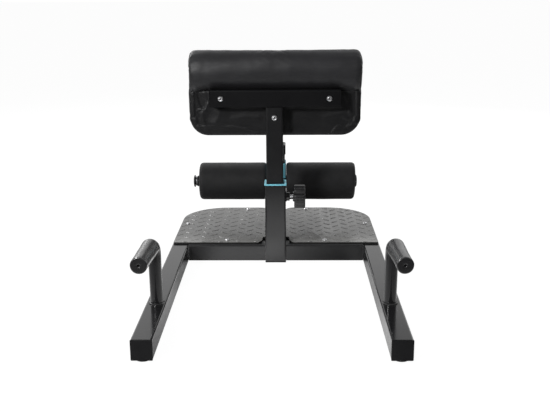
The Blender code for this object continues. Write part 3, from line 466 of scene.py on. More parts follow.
# Painted shade: a darker copy of the blue plastic, for the roller carriage's collar
SHADED_COLLAR_PLASTIC = moulded("shaded_collar_plastic", (0.100, 0.33, 0.41), (0.112, 0.355, 0.435), 0.38, 0.05,
                         1500.0, 0.00002)
BLUE_PLASTIC = moulded("blue_plastic", (0.255, 0.76, 0.93), (0.285, 0.80, 0.96), 0.38, 0.05,
                       1500.0, 0.00002)
RUBBER = moulded("foot_rubber", (0.012, 0.012, 0.012), (0.018, 0.018, 0.018), 0.78, 0.06,
                 900.0, 0.00006, specular=0.4)
VINYL = vinyl("pad_vinyl", (0.018, 0.018, 0.020), (0.025, 0.025, 0.028), 0.48, 0.05)
# Painted shade: a darker copy of the pad vinyl, for the wrapped back
SHADED_BACK_VINYL = vinyl("shaded_back_vinyl", (0.011, 0.011, 0.012), (0.016, 0.016, 0.017), 0.38, 0.05,
                   specular=0.3)
ROLLER_FOAM = foam("roller_foam", (0.0085, 0.0085, 0.0092), (0.012, 0.012, 0.0128), 0.68, 0.05,
                   1300.0, 0.00012, sheen=0.06)
GRIP_FOAM = foam("grip_foam", (0.008, 0.008, 0.009), (0.012, 0.012, 0.013), 0.31, 0.03,
                 1500.0, 0.000008, specular=1.0, sheen=0.04, coat=0.5)
ZINC = metal("zinc_steel", (0.93, 0.93, 0.94), (0.84, 0.84, 0.86), 0.38, 0.05,
             (900.0, 900.0, 900.0))
AXLE_STEEL = metal("axle_steel", (0.32, 0.32, 0.33), (0.26, 0.26, 0.27), 0.32, 0.06,
                   (60.0, 1800.0, 1800.0))

CAD_SURFACE = {
    "frame_paint": FRAME_PAINT,
    "plate_paint": PLATE_PAINT,
    "black_plastic": BLACK_PLASTIC,
    "blue_plastic": BLUE_PLASTIC,
    "foot_rubber": RUBBER,
    "black_foam": ROLLER_FOAM,
    "pad_vinyl": VINYL,
    "zinc_steel": ZINC,
    "axle_steel": AXLE_STEEL,
}


def dress_nodes():
    """Gives every CAD node the detailed surface that stands for its plain CAD material."""
    for piece in nodes.values():
        plain = piece.data.materials[0].name.split(".")[0]
        piece.data.materials.clear()
        piece.data.materials.append(CAD_SURFACE[plain])
    # Painted shade: the pad's cross bar and inner post get the darker copies of the frame paint
    for surface, names in ((SHADED_SATIN_PAINT, ("pad_crossbar",)), (POST_PAINT, ("post_inner",)),
                           (BAR_PAINT, ("crossbar_rear_left", "crossbar_rear_right"))):
        for name in names:
            nodes[name].data.materials[0] = surface


dress_nodes()


# Mesh tools

SMOOTH_ANGLE = math.radians(32)


def dress(piece, surface, body):
    """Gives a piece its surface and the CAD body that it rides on."""
    piece.data.shade_smooth()
    piece.data.materials.clear()
    piece.data.materials.append(surface)
    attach(piece, body)


def add_piece(name, mesh, surface, body, sharp=SMOOTH_ANGLE):
    """Links a mesh made in the CAD's frame as a piece that rides on a CAD body."""
    piece = linked(name, mesh)
    dress(piece, surface, body)
    mesh.set_sharp_from_angle(angle=sharp)
    return piece


def skinned(name, rings, closed=False):
    """A solid over rings of points. A ring of one point is a tip, an open end is capped."""
    starts = list(itertools.accumulate((len(ring) for ring in rings), initial=0))
    numbered = [range(start, end) for start, end in zip(starts, starts[1:])]
    faces = [] if closed else [tuple(numbered[0]), tuple(reversed(numbered[-1]))]
    for low, high in zip(numbered, numbered[1:] + numbered[:1] if closed else numbered[1:]):
        count = max(len(low), len(high))
        for step in range(count):
            after = (step + 1) % count
            corners = (low[step % len(low)], low[after % len(low)],
                       high[after % len(high)], high[step % len(high)])
            faces.append(tuple(dict.fromkeys(corners)))
    mesh = bpy.data.meshes.new(name)
    mesh.from_pydata([tuple(point) for ring in rings for point in ring], [],
                     [face for face in faces if len(face) > 2])
    shape = bmesh.new()
    shape.from_mesh(mesh)
    bmesh.ops.recalc_face_normals(shape, faces=shape.faces)
    shape.to_mesh(mesh)
    shape.free()
    return mesh


def joined(name, meshes):
    shape = bmesh.new()
    for mesh in meshes:
        shape.from_mesh(mesh)
    whole = bpy.data.meshes.new(name)
    shape.to_mesh(whole)
    shape.free()
    return whole


def softened(corners, steps=4):
    """A profile whose corners (radius, height, softness) are rounded by short curves."""
    count = len(corners)
    points = []
    for index, (radius, height, soft) in enumerate(corners):
        if soft <= 0.0 or index in (0, count - 1):
            points.append((radius, height))
            continue
        here = Vector((radius, height))
        before = Vector(corners[index - 1][:2])
        after = Vector(corners[index + 1][:2])
        reach_back = min(soft, (before - here).length * 0.48)
        reach_on = min(soft, (after - here).length * 0.48)
        start = here + (before - here).normalized() * reach_back
        end = here + (after - here).normalized() * reach_on
        for step in range(steps + 1):
            share = step / steps
            bend = (1 - share) ** 2 * start + 2 * share * (1 - share) * here + share ** 2 * end
            points.append((bend.x, bend.y))
    return points


def turned_to(axis):
    return Vector(axis).normalized().to_track_quat("Z", "Y").to_matrix()


def circle(base, turn, radius, height=0.0, steps=64, shape=None):
    """A ring of points round an axis, or its middle; shape(angle, height) scales the radius."""
    base = Vector(base)
    if radius < 1e-7:
        return [base + turn @ Vector((0.0, 0.0, height))]
    ring = []
    for step in range(steps):
        angle = 2 * math.pi * step / steps
        reach = radius * (shape(angle, height) if shape else 1.0)
        spot = Vector((reach * math.cos(angle), reach * math.sin(angle), height))
        ring.append(base + turn @ spot)
    return ring


def revolved(name, profile, base, axis, steps=64, shape=None, closed=False):
    """Turns (radius, height) points round an axis."""
    turn = turned_to(axis)
    rings = [circle(base, turn, radius, height, steps, shape) for radius, height in profile]
    return skinned(name, rings, closed)


def swept(name, path, radius_at, sides=16, closed=False):
    """A round bar along a path; radius_at(distance) gives its radius on the way."""
    path = [Vector(point) for point in path]
    count = len(path)
    rings = []
    side = None
    distance = 0.0
    for index, here in enumerate(path):
        before = path[index - 1] if index or closed else here
        after = path[(index + 1) % count] if index < count - 1 or closed else here
        along = (after - before).normalized()
        if side is None:
            side = along.orthogonal()
        side = (side - along * side.dot(along)).normalized()
        if index:
            distance += (here - path[index - 1]).length
        turn = Matrix((side, along.cross(side), along)).transposed()
        rings.append(circle(here, turn, radius_at(distance), steps=sides))
    return skinned(name, rings, closed)


def line_path(corners, spacing=0.0008):
    """Evenly spaced points along a chain of straight lines."""
    points = [Vector(corners[0])]
    for start, end in zip(corners, corners[1:]):
        start, end = Vector(start), Vector(end)
        steps = max(1, round((end - start).length / spacing))
        points += [start.lerp(end, step / steps) for step in range(1, steps + 1)]
    return points


# Weld beads: overlapping ripples laid in the corners between tubes

RIPPLE_LENGTH = 0.0024

# Distance from the axis and the bead's own radius
BOSS_WELD = (0.0108, 0.0015)


def bead(path, radius, closed=False):
    def ripple(distance):
        phase = (distance / RIPPLE_LENGTH) % 1.0
        drift = 0.10 * math.sin(distance * 410.0) + 0.06 * math.sin(distance * 930.0 + 1.3)
        return radius * (0.88 + 0.20 * math.sin(math.pi * phase) + drift)

    return swept("bead", path, ripple, 10, closed)


def ring_bead(centre, axis, reach, radius):
    return bead(circle(centre, turned_to(axis), reach, steps=72), radius, True)


def add_welds():
    rail_inside = RAIL_X - TUBE / 2
    near = POST_Y - TUBE / 2
    on_base = [ring_bead((POST_HALF + 0.0004, POST_Y, PAD_LOCK_Z), (1, 0, 0), *BOSS_WELD)]
    on_rollers = [ring_bead((0.0, UPRIGHT_Y + POST_HALF + 0.0004, ROLLER_LOCK_Z), (0, 1, 0),
                            *BOSS_WELD)]
    for _, side in SIDES:
        foot = (side * (RAIL_X - HANDLE_INSET), HANDLE_Y, FRAME_TOP + 0.0007)
        on_base.append(ring_bead(foot, UP, HANDLE_RADIUS + 0.0008, 0.0021))
        x = side * POST_HALF
        on_base.append(bead(line_path([(x, near - 0.0002, FRAME_BOTTOM + 0.004),
                                       (x, near - 0.0002, FRAME_TOP + 0.0003),
                                       (x, near + 0.009, FRAME_TOP + 0.0003)]), 0.0015))
        x = side * (rail_inside - 0.0002)
        on_base.append(bead(line_path([(x, near - 0.0002, FRAME_BOTTOM + 0.004),
                                       (x, near - 0.0002, FRAME_TOP - 0.0010)]), 0.0014))
        root = (side * 0.0252, UPRIGHT_Y, ROLLER_Z)
        on_rollers.append(ring_bead(root, (1, 0, 0), 0.0130, 0.0009))
    low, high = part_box("post_inner")
    bar_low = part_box("pad_crossbar")[0].z
    on_pad = [bead(line_path([(x, low.y + 0.004, bar_low), (x, high.y - 0.004, bar_low)]), 0.0014)
              for x in (low.x, high.x)]
    low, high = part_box("upright")
    on_base.append(bead(line_path([(low.x, low.y, low.z), (high.x, low.y, low.z),
                                   (high.x, high.y, low.z), (low.x, high.y, low.z),
                                   (low.x, low.y, low.z)]), 0.0016))
    for name, beads, body in (("weld_beads_frame", on_base, "base"),
                              ("weld_beads_pad", on_pad, "pad_carriage"),
                              ("weld_beads_rollers", on_rollers, "roller_carriage")):
        add_piece(name, joined(name, beads), WELD_PAINT, body)


# Push-up handles

def handle_path(side):
    foot = Vector((side * (RAIL_X - HANDLE_INSET), HANDLE_Y, FRAME_TOP + 0.0003))
    corner = Vector((side * (RAIL_X - HANDLE_INSET / 2), HANDLE_Y, HANDLE_AXIS_Z))
    tip = corner + Vector((side * HANDLE_SPLAY, -HANDLE_REACH, 0.0))
    back = (tip - corner).normalized()
    centre = corner - UP * HANDLE_BEND + back * HANDLE_BEND
    path = line_path([foot, centre - back * HANDLE_BEND], 0.006)
    for step in range(1, 19):
        angle = math.pi / 2 * step / 18
        path.append(centre + HANDLE_BEND * (UP * math.sin(angle) - back * math.cos(angle)))
    return path + line_path([path[-1], tip], 0.008)[1:], tip, back


GRIP_PROFILE = [
    (0.0025, 0.0003, 0.0), (0.0025, 0.0036, 0.0006), (0.0046, 0.0043, 0.0008),
    (0.0110, 0.0043, 0.0008), (0.0160, 0.0043, 0.0032), (0.0160, -0.0200, 0.0150),
    (0.01620, -0.0500, 0.0150), (0.0171, -0.0850, 0.0150), (0.0176, -0.1020, 0.0030),
    (0.0172, -GRIP_LENGTH, 0.0026), (0.0130, -GRIP_LENGTH, 0.0008), (0.0130, 0.0003, 0.0),
]


def grip_wobble(angle, height):
    slow = 0.006 * math.sin(angle * 2 + height * 70)
    return 1.0 + slow + 0.004 * math.sin(angle * 5 - height * 160)


def subdivided(profile, spacing):
    """The same profile with no step longer than the spacing."""
    points = [profile[0]]
    for start, end in zip(profile, profile[1:]):
        length = math.dist(start, end)
        steps = max(1, math.ceil(length / spacing))
        for step in range(1, steps + 1):
            share = step / steps
            points.append((start[0] + (end[0] - start[0]) * share,
                           start[1] + (end[1] - start[1]) * share))
    return points


def add_handles():
    for side_name, side in SIDES:
        path, tip, back = handle_path(side)
        name = "handle_bar_" + side_name
        bar = add_piece(name, swept(name, path, lambda distance: HANDLE_RADIUS, sides=40),
                        HANDLE_PAINT, "base")
        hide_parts("handle_" + side_name)
        name = "grip_sleeve_" + side_name
        profile = subdivided(softened(GRIP_PROFILE), 0.004)
        lean = Vector((side * GRIP_LEAN_OUT, 0.0, GRIP_LEAN_UP)) / GRIP_LENGTH
        axis = (back - lean).normalized()
        grip = add_piece(name, revolved(name, profile, tip, axis, 72, grip_wobble, True),
                         GRIP_FOAM, "base")
        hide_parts("grip_" + side_name)


# Ankle rollers

SLEEVE_LENGTH = {"left": 0.1771, "right": 0.1819}
SLEEVE_RADIUS = 0.0491
SLEEVE_LEAN = {"left": 0.0, "right": 0.0011}
ROLLER_INNER_X = 0.0264
SLEEVE_INNER_X = 0.0255
SLEEVE_ROUNDING = 0.0095
AXLE_RADIUS = 0.0125
CORE_RADIUS = 0.0150
CORE_BORE = 0.0129
SPACER_RADIUS = 0.0140


def roller_profile(length, rounding):
    return [
        (0.0153, 0.0012, 0.0), (0.0185, 0.0011, 0.0010), (0.0260, 0.0001, 0.0030),
        (SLEEVE_RADIUS, 0.0, rounding), (SLEEVE_RADIUS - 0.0002, 0.0450, 0.0200),
        (SLEEVE_RADIUS, 0.0900, 0.0300), (SLEEVE_RADIUS - 0.0002, 0.1350, 0.0200),
        (SLEEVE_RADIUS - 0.0003, length - 0.0015, 0.0100),
        (0.0300, length - 0.0001, 0.0060), (0.0185, length - 0.0011, 0.0010),
        (0.0153, length - 0.0012, 0.0)]


def lean_end(mesh, side, length, amount):
    """Tapers a sleeve's outer end a little from top to bottom, as cut foam does."""
    spots = spots_of(mesh)
    along = side * spots[:, 0] - SLEEVE_INNER_X
    low = (ROLLER_Z - spots[:, 2]) / SLEEVE_RADIUS
    spots[:, 0] -= side * amount * (1 + low) * smooth_step(along, length - 0.030, length)
    move_to(mesh, spots)


def roller_wobble(angle, height):
    return (1.0 - 0.003 * (1 + math.sin(angle * 3 + height * 40)) * 0.5
            - 0.003 * (1 + math.sin(angle * 7 - height * 90 + 1.0)) * 0.5)


AXLE_CAP_PROFILE = [
    (0.0, 0.0040, 0.0), (0.0050, 0.0041, 0.0008), (0.0062, 0.0034, 0.0006),
    (0.0074, 0.0041, 0.0008), (0.0100, 0.0040, 0.0020), (0.0145, 0.0031, 0.0020),
    (0.0160, 0.0016, 0.0010), (0.0160, 0.0, 0.0004), (0.0101, 0.0, 0.0004),
    (0.0101, -0.0130, 0.0008), (0.0094, -0.0140, 0.0004), (0.0, -0.0140, 0.0),
]


def add_rollers():
    for side_name, side in SIDES:
        name = "roller_sleeve_" + side_name
        length = SLEEVE_LENGTH[side_name]
        profile = roller_profile(length, SLEEVE_ROUNDING)
        profile = subdivided(softened(profile, steps=8), 0.005)
        base = (side * SLEEVE_INNER_X, UPRIGHT_Y, ROLLER_Z)
        mesh = revolved(name, profile, base, (side, 0, 0), 112, roller_wobble, True)
        lean_end(mesh, side, length, SLEEVE_LEAN[side_name])
        sleeve = add_piece(name, mesh, ROLLER_FOAM, "roller_" + side_name)
        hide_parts("roller_foam_" + side_name)
        name = "roller_tube_" + side_name
        base = (side * ROLLER_INNER_X, UPRIGHT_Y, ROLLER_Z)
        length -= ROLLER_INNER_X - SLEEVE_INNER_X
        wall = [(CORE_BORE, 0.0, 0.0), (CORE_RADIUS, 0.0, 0.0005), (CORE_RADIUS, length, 0.0005),
                (CORE_BORE, length, 0.0)]
        tube = add_piece(name, revolved(name, softened(wall), base, (side, 0, 0), 64, closed=True),
                         BLACK_PLASTIC, "roller_" + side_name)
        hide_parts("roller_core_" + side_name)
        name = "axle_cap_" + side_name
        low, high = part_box("axle_plug_" + side_name)
        outer = low.x if side < 0 else high.x
        base = (outer - side * 0.0045, UPRIGHT_Y, ROLLER_Z)
        cap = add_piece(name, revolved(name, softened(AXLE_CAP_PROFILE), base, (side, 0, 0), 64),
                        BLACK_PLASTIC, "roller_carriage")
        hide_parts("axle_plug_" + side_name)
    spacer_base = (-SLEEVE_INNER_X - SLEEVE_LENGTH["left"] - 0.0006, UPRIGHT_Y, ROLLER_Z)
    spacer = [(AXLE_RADIUS, 0.0, 0.0), (SPACER_RADIUS, 0.0, 0.0006),
              (SPACER_RADIUS, 0.0058, 0.0006), (AXLE_RADIUS, 0.0058, 0.0)]
    add_piece("axle_spacer_left", revolved("axle_spacer_left", softened(spacer), spacer_base,
                                           (-1, 0, 0), 64, closed=True),
              BLACK_PLASTIC, "roller_carriage")


# Copies of CAD solids with small changes of shape

def reshaped(name, source, surface, body, shape):
    """A copy of a CAD solid whose points are moved by shape(spots, low, high)."""
    low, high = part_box(source)
    mesh = nodes[source].data.copy()
    spots = spots_of(mesh)
    shape(spots, low, high)
    move_to(mesh, spots)
    piece = add_piece(name, mesh, surface, body)
    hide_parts(source)
    return piece


def lowered(amount):
    """A change of shape that brings a solid's top down."""
    def shape(spots, low, high):
        spots[:, 2] -= amount * (spots[:, 2] > high.z - 0.003)

    return shape


def round_crown(spots, low, high):
    middle = (low + high) / 2
    out = np.maximum(np.abs(spots[:, 0] - middle.x), np.abs(spots[:, 1] - middle.y))
    top = smooth_step(spots[:, 2], high.z - 0.006, high.z)
    spots[:, 2] -= top * 0.0024 + smooth_step(out, 0.019, 0.024) * 0.0040 * (
        spots[:, 2] > high.z - 0.008)


def add_trims():
    reshaped("bushing_rim", "post_bushing", BLUE_PLASTIC, "base",
             lowered(0.0026))
    # Painted shade: the collar gets the darker copy of the blue plastic
    reshaped("collar_ring", "carriage_collar", SHADED_COLLAR_PLASTIC, "roller_carriage",
             lowered(0.0040))
    reshaped("upright_crown", "upright_cap", BLACK_PLASTIC, "base",
             round_crown)


# Lock knobs and their threaded stems

LOCKS = (("pad_lock", (POST_HALF, POST_Y, PAD_LOCK_Z), (1, 0, 0)),
         ("roller_lock", (0.0, UPRIGHT_Y + POST_HALF, ROLLER_LOCK_Z), (0, 1, 0)))
KNOB_PROFILE = [
    (0.0053, 0.0167, 0.0), (0.0120, 0.0167, 0.0010), (0.0120, 0.0196, 0.0008),
    (0.0170, 0.0200, 0.0010), (0.0280, 0.0200, 0.0026), (0.0280, 0.0464, 0.0030),
    (0.0205, 0.0464, 0.0010), (0.0195, 0.0450, 0.0008), (0.0100, 0.0450, 0.0008),
    (0.0092, 0.0462, 0.0008), (0.0, 0.0464, 0.0),
]
KNOB_LOBES = 9
LOBE_DEPTH = 0.125
LOBES_FROM = 0.0197
LOBES_TO = 0.0466
STEM_RADIUS = 0.005
STEM_CHAMFER = 0.0008
THREAD_DEPTH = 0.0009
THREAD_RUNOUT = 0.0015
THREAD_STEP = 0.00025


def knob_lobes(angle, height):
    if not LOBES_FROM < height < LOBES_TO:
        return 1.0
    wave = (1 + math.cos(KNOB_LOBES * (angle - math.pi / 2))) / 2
    dip = 1 - min(1.0, wave / 0.62) ** 0.75
    return 1.0 - LOBE_DEPTH * dip * min(1.0, (height - LOBES_FROM) / 0.0012)


def threaded(name, face, axis, start, end):
    """A stem with a helical thread between two heights, capped at both ends."""
    def radius_at(angle, height):
        fade = min(1.0, (height - start) / THREAD_RUNOUT, (end - height) / THREAD_RUNOUT)
        phase = (height / THREAD_PITCH - angle / (2 * math.pi)) % 1.0
        groove = min(1.0, 1.5 * (1 - abs(2 * phase - 1)))
        chamfer = max(0.0, STEM_CHAMFER - (height - start))
        return STEM_RADIUS - THREAD_DEPTH * groove * max(0.0, fade) - chamfer

    turn = turned_to(axis)
    count = round((end - start) / THREAD_STEP)
    heights = [start + (end - start) * index / count for index in range(count + 1)]
    return skinned(name, [circle(face, turn, 1.0, height, 36, radius_at) for height in heights])


def add_locks():
    for label, face, axis in LOCKS:
        name = label + "_handwheel"
        profile = subdivided(softened(KNOB_PROFILE), 0.0025)
        knob = add_piece(name, revolved(name, profile, face, axis, KNOB_LOBES * 20, knob_lobes),
                         KNOB_PLASTIC, label + "_grip")
        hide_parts(label + "_knob")
        low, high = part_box(label + "_screw")
        along = axis.index(1)
        name = label + "_threaded_stem"
        mesh = threaded(name, face, axis, low[along] - face[along], high[along] - face[along])
        stem = add_piece(name, mesh, ZINC, label + "_stem")
        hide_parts(label + "_screw")


# Bolts, screws and feet

# Head width and height, socket width, shank width and length
PAD_BOLT = (0.0135, 0.0044, 0.005, 0.008, 0.052)
PLATE_SCREW = (0.0115, 0.003, 0.0037, 0.006, 0.014)
FOOT_PROFILE = [
    (0.0, 0.0005, 0.0), (0.0040, 0.0005, 0.0), (0.0046, 0.0, 0.0), (0.0070, 0.0, 0.0),
    (0.0076, 0.0006, 0.0), (0.0084, 0.0006, 0.0), (0.0090, 0.0, 0.0), (0.0148, 0.0, 0.0006),
    (0.0153, 0.0012, 0.0006), (0.0156, 0.0026, 0.0005), (0.0156, 0.0038, 0.0004),
    (0.0, 0.0038, 0.0),
]


def middle_of(node):
    return Vector([(low + high) / 2 for low, high in zip(*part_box(node))])


def hexagon(angle, _):
    return math.cos(math.pi / 6) / math.cos((angle + math.pi / 6) % (math.pi / 3) - math.pi / 6)


def hex_button(name, base, axis, head, height, socket, shank, length):
    """A button head with a hexagon socket, on its shank, as one closed mesh."""
    flat = socket / math.sqrt(3)
    floor = height * 0.20
    inside = [(0.0, floor), (flat * 0.98, floor), (flat, height - 0.0003)]
    outside = softened([
        (flat * 1.12, height, 0.0), (head * 0.30, height * 0.98, head * 0.04),
        (head * 0.455, height * 0.52, head * 0.10), (head * 0.50, height * 0.12, head * 0.02),
        (head * 0.495, 0.0, 0.0), (shank / 2, 0.0, 0.0), (shank / 2, -length + 0.001, 0.0),
        (shank / 2 - 0.001, -length, 0.0), (0.0, -length, 0.0)])
    turn = turned_to(axis)
    rings = [circle(base, turn, *spot, 48, hexagon) for spot in inside]
    return skinned(name, rings + [circle(base, turn, *spot, 48) for spot in outside])


def add_screws():
    for label in ("left", "right", "post"):
        name = "pad_bolt_head_" + label
        middle = middle_of("pad_bolt_" + label)
        base = (middle.x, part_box("pad_bolt_" + label)[0].y + PAD_BOLT[1], middle.z)
        bolt = add_piece(name, hex_button(name, base, (0, -1, 0), *PAD_BOLT), ZINC,
                         "pad_carriage")
        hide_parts("pad_bolt_" + label)
    for label in [where + "_" + side_name for where in PLATE_SCREWS for side_name, _ in SIDES]:
        name = "plate_screw_head_" + label
        middle = middle_of("plate_screw_" + label)
        base = (middle.x, middle.y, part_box("plate_screw_" + label)[1].z - PLATE_SCREW[1])
        screw = add_piece(name, hex_button(name, base, UP, *PLATE_SCREW), ZINC, "base")
        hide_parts("plate_screw_" + label)


def add_feet():
    for label in ["foot_" + where + "_" + side_name for where in ("rail", "front")
                  for side_name, _ in SIDES]:
        name = "rubber_" + label
        middle = middle_of(label)
        mesh = revolved(name, softened(FOOT_PROFILE), (middle.x, middle.y, 0.0), UP, 48)
        foot = add_piece(name, mesh, RUBBER, "base")
        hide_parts(label)


# Foot plates and their raised tread

PLATE_FAR = POST_Y + 0.319
PLATE_OUTER = 0.250
PLATE_INNER = 0.0243
PLATE_THICKNESS = 0.004
PLATE_BIG = 0.116
PLATE_SMALL = 0.004
PLATE_INSIDE = 0.024
NOTCH = ((0.0264, 0.0458), (0.0312, 0.0452), (0.0324, 0.0440), (0.0338, 0.0170))
# Painted shade: depth and thickness of the dark sheet hung in the notches
SHADE_STRIP_DEPTH = 0.014
SHADE_STRIP_WALL = 0.0016
PLATE_HOLE = 0.0034
TREAD_X = 0.065
TREAD_Y = POST_Y + 0.013
TREAD_PITCH_X = 0.044
TREAD_PITCH_Y = 0.0397
LUG_LENGTH = 0.0235
LUG_WIDTH = 0.0062
LUG_HEIGHT = 0.0006
LUG_ANGLE = math.radians(42)
TREAD_MARGIN = 0.0035
SCREW_CLEARANCE = 0.0085
PLATE_EDGE = 0.0005
PLATE_SHARP = math.radians(15)
LUG_STEPS = 28
LUG_RINGS = ((1.00, -0.0002), (0.94, LUG_HEIGHT * 0.22), (0.80, LUG_HEIGHT * 0.60),
             (0.56, LUG_HEIGHT * 0.90), (0.28, LUG_HEIGHT))


def arc_points(centre, radius, start, end, steps):
    return [(centre[0] + radius * math.cos(math.radians(start + (end - start) * step / steps)),
             centre[1] + radius * math.sin(math.radians(start + (end - start) * step / steps)))
            for step in range(steps + 1)]


def tread_outline(side):
    """The plate's outline less a margin, counter-clockwise seen from above."""
    outer, inner = PLATE_OUTER - TREAD_MARGIN, PLATE_INNER + TREAD_MARGIN
    near, far = PLATE_NEAR + TREAD_MARGIN, PLATE_FAR - TREAD_MARGIN
    big = PLATE_BIG - TREAD_MARGIN
    inside = PLATE_INSIDE - TREAD_MARGIN
    points = [(outer, near)]
    points += arc_points((outer - big, far - big), big, 0, 90, 20)
    points += arc_points((inner + inside, far - inside), inside, 90, 180, 8)
    points += [(inner, near + 0.075), (inner + 0.019, near)]
    points = [(side * x, y) for x, y in points]
    return points if side > 0 else points[::-1]


def plate_outline(side):
    """The plate seen from above, notched round the post."""
    points = arc_points((PLATE_OUTER - PLATE_SMALL, PLATE_NEAR + PLATE_SMALL), PLATE_SMALL,
                        270, 360, 4)
    points += arc_points((PLATE_OUTER - PLATE_BIG, PLATE_FAR - PLATE_BIG), PLATE_BIG, 0, 90, 28)
    points += arc_points((PLATE_INNER + PLATE_INSIDE, PLATE_FAR - PLATE_INSIDE), PLATE_INSIDE,
                         90, 180, 14)
    points += [(x, PLATE_NEAR + y) for x, y in (
        ((PLATE_INNER, 0.0470),) + NOTCH + ((0.0345, 0.0145), (0.0430, 0.0)))]
    return [(side * x, y) for x, y in points]


def add_notch_shade():
    """Painted shade: a dark sheet hung down along the notches beside the post, where only shade
    lies under the plates.
    """
    top = PLATE_TOP - PLATE_THICKNESS + 0.0002
    shade_strips = []
    for _, side in SIDES:
        corners = ((PLATE_INNER + 0.0006, 0.0472),) + NOTCH
        line = [Vector((side * x, PLATE_NEAR + y, 0.0)) for x, y in corners]
        line += [spot + Vector((side * SHADE_STRIP_WALL, SHADE_STRIP_WALL, 0.0)) for spot in line[::-1]]
        shade_strips.append(skinned("shade_strip", [[spot + UP * level for spot in line]
                                    for level in (top - SHADE_STRIP_DEPTH, top)]))
    add_piece("plate_notch_shade", joined("plate_notch_shade", shade_strips), FRAME_PAINT, "base")


def add_plates():
    low = PLATE_TOP - PLATE_THICKNESS
    rod = [(0.0, 0.0), (PLATE_HOLE, 0.0), (PLATE_HOLE, 0.010), (0.0, 0.010)]
    for side_name, side in SIDES:
        name = "foot_plate_top_" + side_name
        holes = []
        for where in PLATE_SCREWS:
            middle = middle_of("plate_screw_" + where + "_" + side_name)
            holes.append(revolved("hole", rod, (middle.x, middle.y, low - 0.002), UP, 32))
        cutter = linked("plate_holes", joined("plate_holes", holes))
        outline = plate_outline(side)
        plate = linked(name, skinned(name, [[(x, y, level) for x, y in outline]
                                            for level in (low, PLATE_TOP)]))
        add_modifier(plate, "BOOLEAN", object=cutter, solver="EXACT")
        add_modifier(plate, "BEVEL", width=PLATE_EDGE, segments=3, limit_method="ANGLE",
                     angle_limit=math.radians(50))
        bake_modifiers(plate)
        mesh = plate.data
        bpy.data.objects.remove(plate)
        bpy.data.objects.remove(cutter)
        piece = add_piece(name, mesh, PLATE_PAINT, "base",
                          sharp=PLATE_SHARP)
        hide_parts("foot_plate_" + side_name)


def lug(x, y, lean):
    """One tear-drop lug: a long pointed dome with soft flanks."""
    rings = []
    for scale, height in LUG_RINGS:
        ring = []
        for step in range(LUG_STEPS):
            angle = 2 * math.pi * step / LUG_STEPS
            along = LUG_LENGTH / 2 * math.cos(angle) * (0.72 + 0.28 * scale)
            width = LUG_WIDTH / 2 * math.sin(angle) * abs(math.sin(angle)) ** 0.25 * scale
            ring.append((x + along * math.cos(lean) - width * math.sin(lean),
                         y + along * math.sin(lean) + width * math.cos(lean),
                         PLATE_TOP + height))
        rings.append(ring)
    return skinned("lug", rings)


def cut_to_outline(shape, outline):
    """Cuts everything outside a convex outline away and closes the cuts."""
    for start, end in zip(outline, outline[1:] + outline[:1]):
        direction = Vector((end[0] - start[0], end[1] - start[1], 0.0))
        outwards = Vector((direction.y, -direction.x, 0.0)).normalized()
        here = Vector((start[0], start[1], PLATE_TOP))
        if all((vert.co - here).dot(outwards) < 0 for vert in shape.verts):
            continue
        cut = bmesh.ops.bisect_plane(
            shape, geom=shape.verts[:] + shape.edges[:] + shape.faces[:], plane_co=here,
            plane_no=outwards, clear_outer=True)
        edges = [item for item in cut["geom_cut"] if isinstance(item, bmesh.types.BMEdge)]
        if edges:
            bmesh.ops.edgenet_fill(shape, edges=edges)


def add_tread():
    for side_name, side in SIDES:
        outline = tread_outline(side)
        screws = [middle_of("plate_screw_" + where + "_" + side_name) for where in PLATE_SCREWS]
        whole = bmesh.new()
        for column, row, (half, lean) in itertools.product(
                range(-8, 6), range(-1, 10), ((0.0, LUG_ANGLE), (0.5, -LUG_ANGLE))):
            x = TREAD_X + (column + half) * TREAD_PITCH_X
            y = TREAD_Y + (row + half) * TREAD_PITCH_Y
            if any(math.dist((x, y), screw.xy) < SCREW_CLEARANCE for screw in screws):
                continue
            mesh = lug(x, y, lean)
            piece = bmesh.new()
            piece.from_mesh(mesh)
            cut_to_outline(piece, outline)
            piece.to_mesh(mesh)
            piece.free()
            whole.from_mesh(mesh)
            bpy.data.meshes.remove(mesh)
        bmesh.ops.recalc_face_normals(whole, faces=whole.faces)
        mesh = bpy.data.meshes.new("plate_tread_" + side_name)
        whole.to_mesh(mesh)
        whole.free()
        add_piece("plate_tread_" + side_name, mesh, PLATE_PAINT, "base")


# Pad: a foam cushion under stretched vinyl, and its wrapped board

PAD_HALF = 0.202
PAD_BOTTOM = 0.3055
PAD_CORNER = 0.045
BOARD_REAR = POST_Y + 0.0203
BOARD_FRONT = POST_Y + 0.0326
BOARD_TOP = 0.416
ROLL_UNDERSIDE = 0.421
PAD_VOXEL = 0.005
PAD_SHRINK = 0.0020
ROLL_TOP = 0.5078
ROLL_HALF = (0.2034, 0.2052)
SIDE_HALF = (0.2060, 0.2044)
BACK_HALF = 0.2034
BACK_BOTTOM = 0.3059
BACK_CORNERS = (0.0430, 0.0470)
PAD_CAP = 0.006
CLOTH_FRAMES = 20
BACK_EDGE = 0.007
BACK_VOXEL = 0.0022


def bake_modifiers(piece):
    graph = bpy.context.evaluated_depsgraph_get()
    mesh = bpy.data.meshes.new_from_object(piece.evaluated_get(graph), depsgraph=graph)
    piece.modifiers.clear()
    piece.data = mesh


def add_modifier(piece, kind, **values):
    modifier = piece.modifiers.new(kind.lower(), kind)
    for name, value in values.items():
        setattr(modifier, name, value)


def spots_of(mesh):
    spots = np.zeros(len(mesh.vertices) * 3, np.float32)
    mesh.vertices.foreach_get("co", spots)
    return spots.reshape(-1, 3).astype(float)


def normals_of(mesh):
    normals = np.zeros(len(mesh.vertices) * 3, np.float32)
    mesh.vertices.foreach_get("normal", normals)
    return normals.reshape(-1, 3).astype(float)


def move_to(mesh, spots):
    mesh.vertices.foreach_set("co", spots.astype(np.float32).ravel())
    mesh.update()


